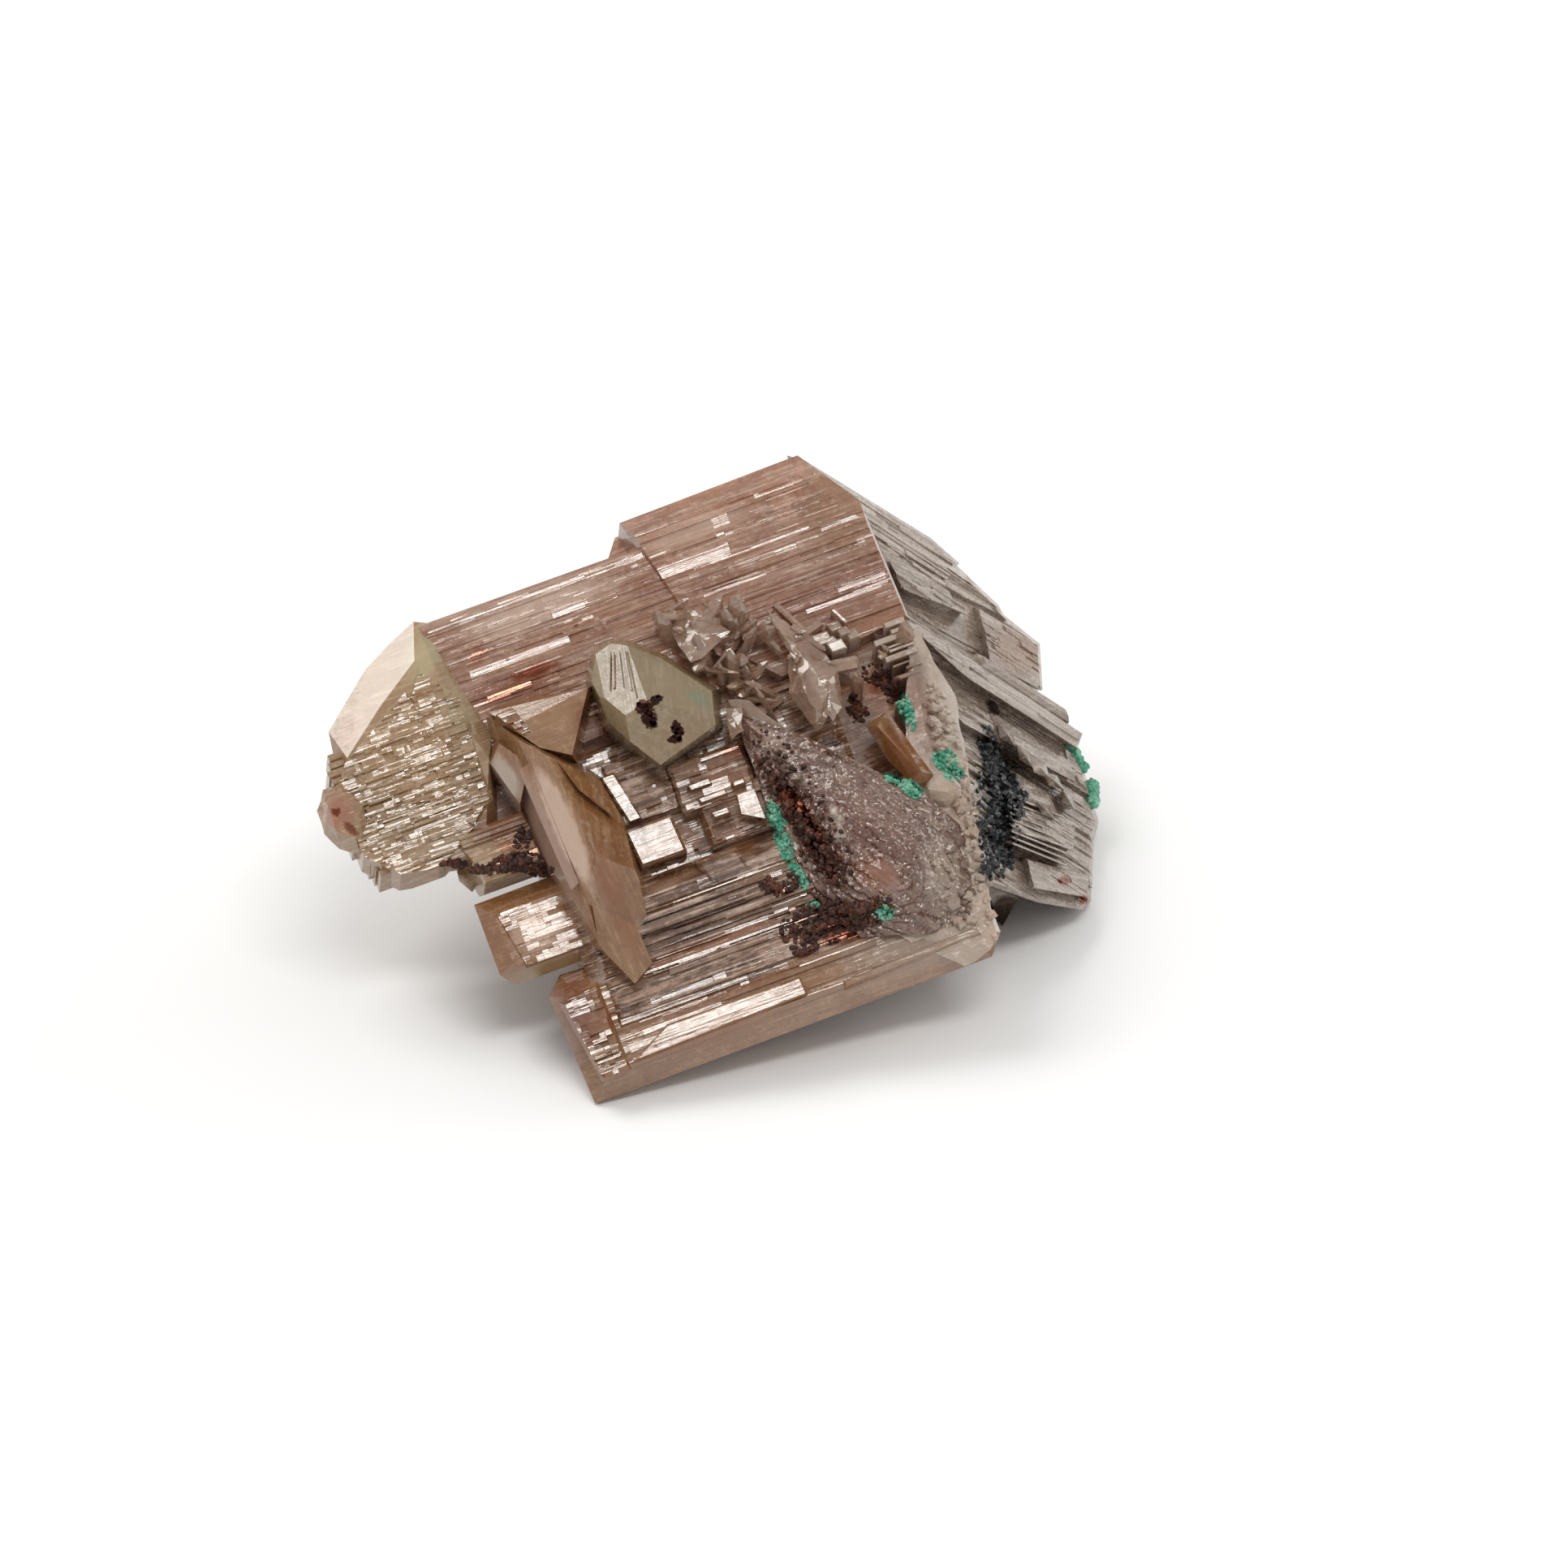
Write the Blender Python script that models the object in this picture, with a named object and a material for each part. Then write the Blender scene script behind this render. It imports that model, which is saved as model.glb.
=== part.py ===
"""Cerussite with malachite: a hand-sized group of intergrown tabular crystals, 42 mm across.

Two individuals meet in a V-shaped twin. The main one shows a broad striated face, turned up and to the
front; the second one falls away to the right as a stepped wing. Smaller crystals stand on the main face.
Malachite tufts, a patch of black ore and crusts of iron oxide sit in pockets between the crystals.

The group is laid out on a drawing of its front, in millimetres: u to the right, v up, w towards the
eye. The eye is EYE_DISTANCE away and EYE_HEIGHT above the horizon. seen() turns a drawn point into its
true place, so that edges lie where the front view shows them and flat faces stay flat.
"""

import math
import random

import bmesh
import bpy
from mathutils import Matrix, Vector
from mathutils.bvhtree import BVHTree

# Driving dimensions, in millimetres and degrees
EYE_DISTANCE = 250.0
EYE_HEIGHT = 28.0
RESTING_HEIGHT = -9.85
CENTRE_X = -3.307
CENTRE_Y = 3.854
STRIATION_RISE = 20.0
POCKET_GAP = 0.12
FLOOR_BLOCK = 90.0
BEAD_SPACING = 1.35
TERRACES = 4
TERRACE_CORNERS = 12
MM = 0.001

# The main face in the drawing: how near it is at the centre, and how that changes along u and v
FACE_NEAR = 2.77
FACE_ALONG_U = -0.049
FACE_ALONG_V = -0.4623

# Directions in the drawing, each of unit length
ALONG_MAIN = Vector((0.92, 0.335, -0.20)).normalized()
DOWN_FACE = Vector((0.36, -0.85, 0.385)).normalized()
OUT_OF_MAIN = DOWN_FACE.cross(ALONG_MAIN).normalized()
ALONG_WING = Vector((0.60, -0.39, -0.70)).normalized()
OUT_OF_WING = DOWN_FACE.cross(ALONG_WING).normalized()
BEHIND_WING = Vector((-0.45, 0.12, -1.0)).normalized()
RIDGE_TOP = Vector((1.0, 17.5, -5.6))


def turn_drawing():
    """The matrix from drawing directions to true ones: x to the right, y away and z up."""
    sine = math.sin(math.radians(EYE_HEIGHT))
    cosine = math.cos(math.radians(EYE_HEIGHT))
    return Matrix(((1, 0, 0), (0, sine, -cosine), (0, cosine, sine)))


FROM_DRAWING = turn_drawing()


def seen(point):
    """The true place, in millimetres, of a drawn point (u, v, w)."""
    point = Vector(point)
    return FROM_DRAWING @ (point * (EYE_DISTANCE / (EYE_DISTANCE + point.z)))


def on_face(u, v, lift):
    """A drawn point that stands lift nearer than the main face."""
    return Vector((u, v, FACE_NEAR + FACE_ALONG_U * u + FACE_ALONG_V * v + lift))


def along_striations(p, q, lift):
    """A drawn point p along the striations and q across them, lift in front of the main face."""
    turn = math.radians(STRIATION_RISE)
    u = p * math.cos(turn) - q * math.sin(turn)
    v = p * math.sin(turn) + q * math.cos(turn)
    return on_face(u, v, lift)


def on_wing(along, down, out):
    """A drawn point on the wing: along its plates, down from the ridge top, and out of its face."""
    return RIDGE_TOP + ALONG_WING * along + DOWN_FACE * down + OUT_OF_WING * out


def on_wing_face(u, v, out):
    """A drawn point (u, v) whose distance out of the wing's face is given."""
    across = OUT_OF_WING.x * (u - RIDGE_TOP.x) + OUT_OF_WING.y * (v - RIDGE_TOP.y)
    return Vector((u, v, RIDGE_TOP.z + (out - across) / OUT_OF_WING.z))


def hull(points):
    """A closed convex solid round true points, with flat faces kept whole."""
    shape = bmesh.new()
    for point in points:
        shape.verts.new(point)
    made = bmesh.ops.convex_hull(shape, input=shape.verts)
    inside = {item for item in made["geom_interior"] + made["geom_unused"] if isinstance(item, bmesh.types.BMVert)}
    bmesh.ops.delete(shape, geom=list(inside), context="VERTS")
    bmesh.ops.dissolve_limit(shape, angle_limit=math.radians(0.3), verts=shape.verts, edges=shape.edges)
    bmesh.ops.recalc_face_normals(shape, faces=shape.faces)
    return shape


def inset(corners, by):
    """Convex corners (p, q), in turn, moved inwards by a distance on every side."""
    count = len(corners)
    middle = sum((Vector(corner) for corner in corners), Vector((0, 0))) / count
    sides = []
    for index, corner in enumerate(corners):
        start = Vector(corner)
        side = (Vector(corners[(index + 1) % count]) - start).normalized()
        normal = Vector((-side.y, side.x))
        if normal.dot(middle - start) < 0:
            normal.negate()
        sides.append((start + normal * by, side))
    moved = []
    for index, (start, side) in enumerate(sides):
        before, before_side = sides[index - 1]
        turn = before_side.x * side.y - before_side.y * side.x
        offset = start - before
        reach = (offset.x * side.y - offset.y * side.x) / turn
        moved.append(before + before_side * reach)
    return moved


def tablet(corners, lift, thick, rim=0.3, rim_drop=0.35, back_rim=0.0):
    """A plate of the main individual, drawn by its outline (p, q), with bevelled edges in front and behind."""
    behind = OUT_OF_MAIN * (thick - rim_drop)
    points = []
    for p, q in inset(corners, rim):
        points.append(along_striations(p, q, lift))
    for p, q in corners:
        points.append(along_striations(p, q, lift - rim_drop))
    for p, q in inset(corners, back_rim):
        points.append(along_striations(p, q, lift - rim_drop) - behind)
    return hull([seen(point) for point in points])


def lath(p_from, p_to, q_low, q_high, lift, thick=0.6):
    """A thin raised strip along the striations, bevelled on its long sides and ends."""
    corners = ((p_from, q_low), (p_to, q_low), (p_to, q_high), (p_from, q_high))
    rim = 0.25 * (q_high - q_low)
    return tablet(corners, lift, thick, rim, min(0.12, thick / 3))


def wing_plate(along_from, along_to, down_from, down_to, out, thick, rim=0.3, slant=0.0):
    """A plate of the wing, with bevelled edges; slant moves its lower edge further along."""
    points = []
    for along, down in (
        (along_from, down_from),
        (along_to, down_from),
        (along_to + slant, down_to),
        (along_from + slant, down_to),
    ):
        middle_along = (along_from + along_to + slant) / 2
        middle_down = (down_from + down_to) / 2
        inner_along = along + math.copysign(rim, middle_along - along)
        inner_down = down + math.copysign(rim, middle_down - down)
        points.append(on_wing(inner_along, inner_down, out))
        points.append(on_wing(along, down, out - rim))
        points.append(on_wing(along, down, out - thick))
    return hull([seen(point) for point in points])


def wing_tablet(corners, out, thick, rim=0.25, drop=0.3):
    """A plate of the wing, drawn by its outline (u, v), with bevelled edges."""
    points = []
    for u, v in inset(corners, rim):
        points.append(on_wing_face(u, v, out))
    for u, v in corners:
        edge = on_wing_face(u, v, out - drop)
        points.append(edge)
        points.append(edge + BEHIND_WING * thick)
    return hull([seen(point) for point in points])


def crystal(front_points, back=()):
    """A free-standing crystal: drawn points (u, v, lift) off the main face, and true points behind."""
    points = [seen(on_face(*point)) for point in front_points]
    points += [Vector(point) for point in back]
    return hull(points)


def carved(middle, faces, reach=14.0):
    """A crystal cut from a block by flat faces; each face is three drawn points (u, v, lift)."""
    shape = bmesh.new()
    bmesh.ops.create_cube(shape, size=2 * reach)
    inside = on_face(*middle)
    bmesh.ops.translate(shape, vec=inside, verts=shape.verts)
    for face in faces:
        first, second, third = (on_face(*point) for point in face)
        normal = (second - first).cross(third - first).normalized()
        if normal.dot(inside - first) > 0:
            normal.negate()
        geometry = shape.verts[:] + shape.edges[:] + shape.faces[:]
        bmesh.ops.bisect_plane(shape, geom=geometry, plane_co=first, plane_no=normal, clear_outer=True)
        corners = [vertex.co.copy() for vertex in shape.verts]
        shape.free()
        shape = hull(corners)
    corners = [seen(vertex.co) for vertex in shape.verts]
    shape.free()
    return hull(corners)


def edge_face(start, end, lean=0.15):
    """A side face that runs back from a drawn edge, leaning outwards on the right of start to end."""
    along = Vector((end[0] - start[0], end[1] - start[1])).normalized()
    outward = Vector((along.y, -along.x)) * lean
    behind = (start[0] + outward.x, start[1] + outward.y, start[2] - 1.0)
    return (start, end, behind)


def lump(centre, radius, seed=0, rough=0.12, finer=1):
    """A rounded nodule about a true point, with uneven corners."""
    shape = bmesh.new()
    bmesh.ops.create_icosphere(shape, subdivisions=finer, radius=radius)
    uneven = random.Random(seed)
    for vertex in shape.verts:
        vertex.co *= 1 + uneven.uniform(-rough, rough)
        vertex.co += centre
    bmesh.ops.recalc_face_normals(shape, faces=shape.faces)
    return shape


def main_body():
    """The main individual: the thick block behind the striated face, and its base."""
    upper = crystal(
        (
            (-18.4, 7.9, -1.1),
            (-9.0, 11.6, -1.1),
            (0.8, 16.4, -1.1),
            (7.1, 6.3, -1.1),
            (10.2, -4.0, -1.1),
            (-5.0, -7.2, -1.3),
            (-12.0, -4.1, -1.2),
            (-17.6, -3.2, -1.2),
        ),
        (
            (-17.5, 6.0, 3.5),
            (-12.0, 9.0, -9.3),
            (-8.0, 12.0, -10.4),
            (2.0, 16.0, -9.2),
            (8.0, 16.5, -10.4),
            (9.5, 15.5, -2.0),
            (0.5, 15.2, 9.0),
            (-8.0, 10.6, 7.5),
            (9.0, 2.0, -9.3),
        ),
    )
    lower = crystal(
        (
            (-11.6, -2.0, -0.9),
            (9.0, 2.6, -0.9),
            (10.6, -6.8, -0.9),
            (6.0, -9.4, -0.7),
            (-6.6, -13.6, -0.6),
            (-9.6, -11.8, -0.7),
            (-10.7, -5.6, -0.9),
        ),
        (
            (-8.6, 3.0, -10.2),
            (9.0, 5.0, -9.2),
            (6.0, -3.5, -8.0),
            (-5.0, -11.5, -9.6),
        ),
    )
    return [upper, lower]


def top_plates():
    """The plates that end along the top edge, with the step between them."""
    high = tablet(((-3.5, 16.15), (6.7, 16.3), (9.0, 12.9), (9.35, 6.0), (2.0, 5.2), (-1.8, 9.4)), 0.0, 6.0, 0.85, 0.75)
    left = tablet(((-15.6, 14.65), (0.5, 14.55), (2.0, 6.0), (-15.9, 5.5)), -0.75, 6.5, 0.45, 0.55)
    back = tablet(((-4.5, 15.7), (2.0, 15.7), (1.0, 9.0), (-5.2, 9.0), (-5.3, 14.6)), -2.4, 4.0, 0.3, 0.3)
    return [high, left, back]


def striations(seed, region, lift, count, widths=(0.25, 0.6), heights=(0.08, 0.2), shortest=0.25):
    """Raised strips spread over a region (p_from, p_to, q_low, q_high) of the main face."""
    spread = random.Random(seed)
    p_from, p_to, q_low, q_high = region
    strips = []
    for index in range(count):
        middle = q_low + (q_high - q_low) * (index + 0.5 + spread.uniform(-0.3, 0.3)) / count
        half = spread.uniform(*widths) / 2
        length = (p_to - p_from) * spread.uniform(shortest, 1.0)
        start = spread.uniform(p_from, p_to - length)
        height = spread.uniform(*heights)
        strips.append(lath(start, start + length, middle - half, middle + half, lift + height))
    return strips


def front_steps():
    """The stepped plates on the lower half of the main face, down to the slab that it stands on."""
    steps = [
        tablet(((-13.0, 1.6), (4.0, 1.6), (4.0, -8.5), (-13.0, -8.5)), 0.4, 3.0, 0.5, 0.4),
        tablet(((-13.6, -2.2), (3.2, -2.2), (3.2, -10.0), (-13.2, -10.0)), 1.35, 3.0, 1.1, 1.2),
        tablet(((-8.6, 4.2), (-5.6, 4.0), (-5.6, 0.6), (-8.6, 0.6)), 0.9, 2.0, 0.25, 0.3),
        tablet(((-8.7, 0.3), (-6.2, 0.3), (-6.2, -1.6), (-8.7, -1.6)), 1.5, 2.0, 0.2, 0.25),
        tablet(((-5.4, 2.6), (-1.4, 2.6), (-1.4, 0.2), (-5.4, 0.2)), 1.4, 2.5, 0.3, 0.4),
        tablet(((-4.6, 0.9), (-0.9, 0.9), (-0.9, -2.0), (-4.6, -2.0)), 1.0, 2.0, 0.3, 0.3),
        tablet(((-2.1, 0.7), (-0.7, 0.7), (-0.7, -0.8), (-2.1, -0.8)), 1.9, 2.0, 0.4, 0.5),
    ]
    return steps


def lower_slab():
    """The long plate at the foot of the group, which rests on its left corner."""
    outline = ((-15.75, -6.4), (-14.8, -5.5), (8.0, -6.5), (8.2, -11.4), (7.3, -12.5), (-15.35, -12.65))
    whole = tablet(outline, 1.0, 4.4, 1.45, 1.5, 1.5)
    face = tablet(((-15.0, -6.2), (7.2, -6.8), (7.5, -11.2), (-14.2, -11.3)), 1.22, 2.0, 0.35, 0.3, 0.6)
    end = tablet(((-15.4, -6.9), (-12.6, -6.5), (-12.4, -11.5), (-14.6, -11.7)), 1.5, 2.5, 0.4, 0.4, 0.8)
    return [whole, face, end]


def small_block():
    """The block that juts out on the left, above the slab."""
    outline = ((-17.82, -0.41), (-12.0, -0.35), (-12.0, -5.2), (-17.2, -5.2), (-17.8, -4.4))
    return [tablet(outline, 0.5, 2.6, 0.75, 0.7, 0.85)]


def left_knob():
    """The thick left end of the main individual, its slanting edge, its rounded lobe and the rim beside it."""
    block = crystal(
        (
            (-23.5, 1.4, 0.9),
            (-21.5, 4.4, 0.9),
            (-19.6, 6.4, 0.8),
            (-18.6, 5.0, 0.9),
            (-15.8, 1.4, 0.9),
            (-16.0, -3.6, 0.7),
            (-18.5, -4.2, 0.7),
            (-20.6, -4.5, 0.6),
            (-22.2, -3.9, 0.6),
            (-19.9, 8.75, -0.6),
            (-18.9, 7.9, -0.5),
            (-21.3, 7.65, -0.55),
            (-22.6, 6.25, -0.5),
            (-24.5, 2.8, -0.5),
            (-24.1, 1.4, -0.5),
            (-23.1, -3.5, -0.6),
            (-22.4, -4.45, -0.5),
            (-20.6, -5.1, -0.6),
            (-18.5, -4.75, -0.7),
            (-15.3, -4.3, -0.9),
            (-20.0, 7.8, -4.5),
            (-23.2, 2.6, -5.2),
            (-22.6, -1.0, -5.4),
            (-19.5, -2.6, -6.5),
            (-14.5, -2.4, -8.0),
            (-15.0, 8.2, -5.0),
        )
    )
    lobe = crystal(
        (
            (-23.7, -0.3, 1.2),
            (-24.5, -1.3, 0.8),
            (-24.1, -2.5, 0.9),
            (-22.8, -2.9, 1.1),
            (-22.6, -1.2, 1.3),
            (-23.7, 0.25, 0.1),
            (-24.7, -0.4, -0.3),
            (-24.95, -1.5, -0.4),
            (-24.6, -2.7, -0.4),
            (-23.8, -3.5, -0.3),
            (-22.7, -3.8, -0.2),
            (-22.0, -2.6, 0.4),
            (-23.8, -1.0, -3.0),
            (-22.4, -2.6, -3.2),
        )
    )
    rim = crystal(
        (
            (-18.8, -2.6, -0.1),
            (-18.5, -4.35, -0.3),
            (-14.5, -4.45, -0.3),
            (-12.6, -4.95, -0.3),
            (-11.6, -3.0, -0.1),
            (-18.0, -3.4, -3.0),
            (-12.0, -3.6, -3.0),
        )
    )
    stub = crystal(
        (
            (-17.9, -3.0, -1.2),
            (-15.9, -3.0, -1.2),
            (-16.7, -5.8, -1.1),
            (-17.4, -5.2, -1.0),
            (-16.2, -5.0, -1.2),
            (-17.0, -3.4, -3.4),
        )
    )
    return [block, lobe, rim, stub]


def blade():
    """The tall blade in front on the left, with a bright narrow face between two sloping ones."""
    ridge_top = (-13.9, 1.6, 3.2)
    ridge_low = (-10.7, -5.9, 4.3)
    bulge = (-10.1, -3.8, 4.45)
    upper_right = (-12.6, 1.9, 3.3)
    body = carved(
        (-10.6, -4.0, 1.0),
        (
            (ridge_top, ridge_low, (-12.8, -3.9, 1.0)),
            (ridge_top, ridge_low, bulge),
            (upper_right, bulge, (-8.6, -1.9, 1.2)),
            (bulge, (-9.9, -9.0, 2.9), (-7.3, -7.5, 1.1)),
            (ridge_low, (-9.9, -9.0, 2.9), (-12.2, -6.4, 1.0)),
            edge_face((-10.2, -8.7, 1.0), (-15.5, 0.8, 1.0)),
            edge_face((-8.0, -10.9, 1.0), (-10.2, -8.7, 1.0)),
            edge_face((-7.1, -11.1, 1.0), (-8.0, -10.9, 1.0)),
            edge_face((-7.0, -9.1, 1.0), (-7.1, -11.1, 1.0)),
            edge_face((-7.6, -5.1, 1.0), (-7.0, -9.1, 1.0)),
            edge_face((-8.6, -1.9, 1.0), (-7.6, -5.1, 1.0)),
            edge_face((-9.8, 0.2, 1.0), (-8.6, -1.9, 1.0)),
            edge_face((-12.0, 1.6, 1.0), (-9.8, 0.2, 1.0)),
            edge_face((-15.7, 3.5, 1.0), (-12.0, 1.6, 1.0)),
            edge_face((-15.5, 0.8, 1.0), (-15.7, 3.5, 1.0)),
            ((-15.7, 3.5, 1.6), (-15.5, 0.9, 1.2), ridge_top),
            ((-12.0, 1.6, -1.5), (-9.8, 0.2, -1.5), (-10.2, -8.7, -1.5)),
        ),
    )
    side = carved(
        (-14.9, 0.9, 0.8),
        (
            ((-15.7, 1.1, 1.2), (-14.9, 2.1, 1.9), (-14.1, -1.2, 1.9)),
            edge_face((-14.1, -1.4, 1.0), (-15.75, 1.1, 1.0)),
            edge_face((-15.75, 1.1, 1.0), (-15.3, 2.3, 1.0)),
            edge_face((-15.3, 2.3, 1.0), (-13.4, 1.2, 1.0)),
            edge_face((-13.4, 1.2, 1.0), (-14.1, -1.4, 1.0)),
            ((-14.1, -1.4, -1.2), (-15.75, 1.1, -1.2), (-14.0, 1.6, -1.2)),
        ),
    )
    return [body, side]


def standing_crystals():
    """The separate crystals that stand on the middle of the main face."""
    triangle = crystal(
        (
            (-15.8, 3.8, 1.5),
            (-10.0, 5.0, 1.3),
            (-11.6, 1.4, 3.0),
            (-14.0, 3.0, 2.2),
            (-15.4, 4.3, -1.5),
            (-9.9, 5.4, -1.5),
            (-10.9, 0.8, -1.5),
        )
    )
    yellow = crystal(
        (
            (-9.9, 7.4, 1.6),
            (-9.0, 7.65, 1.3),
            (-7.7, 7.5, 1.0),
            (-6.3, 6.8, 1.0),
            (-3.7, 5.4, 1.4),
            (-8.6, 2.6, 3.27),
            (-8.3, 4.0, 3.6),
            (-6.3, 4.9, 3.6),
            (-3.7, 4.3, 3.2),
            (-3.5, 3.3, 2.93),
            (-5.0, 1.9, 2.74),
            (-6.0, 0.8, 2.57),
            (-6.8, 0.8, 2.65),
            (-10.6, 5.7, 1.4),
            (-9.4, 2.3, 1.8),
            (-7.7, 1.4, 2.0),
            (-9.0, 7.0, -1.5),
            (-4.2, 4.4, -1.5),
            (-6.6, 1.2, -1.5),
            (-9.6, 3.5, -1.5),
        )
    )
    arrowhead = crystal(
        (
            (0.4, 7.3, 1.3),
            (0.7, 5.0, 1.5),
            (2.1, 2.7, 1.6),
            (2.8, 5.1, 1.5),
            (1.5, 5.6, 3.0),
            (1.9, 4.3, 2.9),
            (0.9, 6.6, -1.5),
            (2.4, 4.0, -1.5),
        )
    )
    shard = crystal(
        (
            (-1.0, 9.1, 0.6),
            (-0.4, 7.7, 1.2),
            (1.0, 6.1, 1.4),
            (2.3, 6.4, 0.9),
            (0.8, 7.3, 2.0),
            (-0.6, 8.2, -1.5),
            (1.6, 6.4, -1.5),
        )
    )
    needle = crystal(
        (
            (-3.1, 4.7, 1.2),
            (-1.9, 4.5, 2.2),
            (0.2, 2.9, 1.7),
            (-1.0, 3.2, 1.2),
            (-2.3, 4.0, -1.0),
            (-0.6, 3.2, -1.0),
            (-2.6, 3.9, 1.4),
        )
    )
    tab = crystal(
        (
            (4.4, 3.1, 1.0),
            (5.5, 3.9, 1.2),
            (8.0, 0.5, 1.5),
            (7.3, -0.4, 1.4),
            (5.6, 1.2, 1.0),
            (5.0, 3.1, 2.0),
            (7.2, 0.7, 2.1),
            (5.5, 2.8, -1.5),
            (7.0, 0.6, -1.5),
        )
    )
    return [triangle, yellow, arrowhead, shard, needle, tab]


def clear_cluster(seed=5):
    """The knot of small clear crystals above the middle, each a pointed wedge of its own lean."""
    spread = random.Random(seed)
    places = ((-6.0, 9.0, 0.9), (-4.8, 8.4, 1.1), (-3.9, 7.4, 1.2), (-2.9, 8.0, 0.9), (-5.3, 7.6, 0.8), (-2.6, 6.5, 0.9))
    crystals = []
    for u, v, size in places:
        points = []
        for corner in range(6):
            angle = corner * math.pi / 3 + spread.uniform(-0.3, 0.3)
            reach = size * spread.uniform(0.75, 1.1)
            points.append((u + reach * math.cos(angle), v + reach * math.sin(angle), spread.uniform(0.3, 0.9)))
        points.append((u + spread.uniform(-0.4, 0.4), v + spread.uniform(-0.4, 0.4), 1.2 + size * 0.8))
        points.append((u + spread.uniform(-0.6, 0.6), v + spread.uniform(-0.2, 0.6), 1.0 + size * 0.6))
        points.append((u, v, -1.5))
        crystals.append(crystal(points))
    for p, q, across in ((4.6, 6.6, 0.8), (5.6, 6.0, 0.6), (5.3, 5.0, 0.9)):
        corners = ((p - across, q - 0.5), (p + across, q - 0.5), (p + across, q + 0.5), (p - across, q + 0.5))
        crystals.append(tablet(corners, 0.9, 3.0, 0.15, 0.2))
    return crystals


def front_wedge():
    """The wedge in front on the right, with its curved growth steps, and the frosted margin beside it."""
    core = crystal(
        (
            (-2.7, 4.3, 1.0),
            (2.6, 1.9, 2.5),
            (8.0, -0.9, 2.2),
            (3.0, -1.6, 3.4),
            (5.6, -2.6, 3.6),
            (7.0, -4.8, 3.3),
            (4.6, -5.6, 3.3),
            (-0.8, -1.5, 1.2),
            (1.4, -5.8, 1.4),
            (4.1, -8.4, 1.2),
            (7.5, -8.0, 1.5),
            (10.2, -2.7, 1.0),
            (10.6, -5.3, 1.1),
            (10.9, -7.6, 0.9),
            (-1.5, 2.5, -1.5),
            (2.0, -5.0, -1.5),
            (9.5, -3.0, -1.5),
            (9.5, -7.0, -1.5),
        )
    )
    margin = crystal(
        (
            (7.0, 8.0, 0.5),
            (6.4, 7.2, 0.8),
            (8.3, -1.4, 1.9),
            (9.6, -7.8, 1.6),
            (8.1, 4.7, 0.5),
            (8.8, 1.6, 1.0),
            (10.3, -2.7, 1.2),
            (10.8, -5.3, 1.1),
            (11.5, -8.2, 0.8),
            (11.2, -8.8, 0.8),
            (7.0, 7.0, -2.5),
            (8.2, 1.0, -3.5),
            (10.0, -4.0, -3.0),
            (10.8, -8.4, -2.0),
        )
    )
    terraces = []
    for rise in range(TERRACES):
        across = 4.9 - 0.95 * rise
        along = 3.0 - 0.55 * rise
        ring = []
        for corner in range(TERRACE_CORNERS):
            angle = corner * math.tau / TERRACE_CORNERS
            right = across * math.cos(angle)
            up = along * math.sin(angle)
            u = 5.3 - 0.25 * rise + right * 0.82 + up * 0.57
            v = -3.1 - 0.5 * rise - right * 0.57 + up * 0.82
            ring.append((u, v, 2.75 + 0.32 * rise))
            ring.append((5.3 + (u - 5.3) * 1.08, -3.4 + (v + 3.4) * 1.08, 2.1 + 0.32 * rise))
        ring.append((5.0, -4.0, 0.0))
        terraces.append(crystal(ring))
    nub = lump(seen(on_face(8.5, -0.5, 1.35)), 1.05, 3)
    return [core, margin, nub] + terraces


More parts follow.
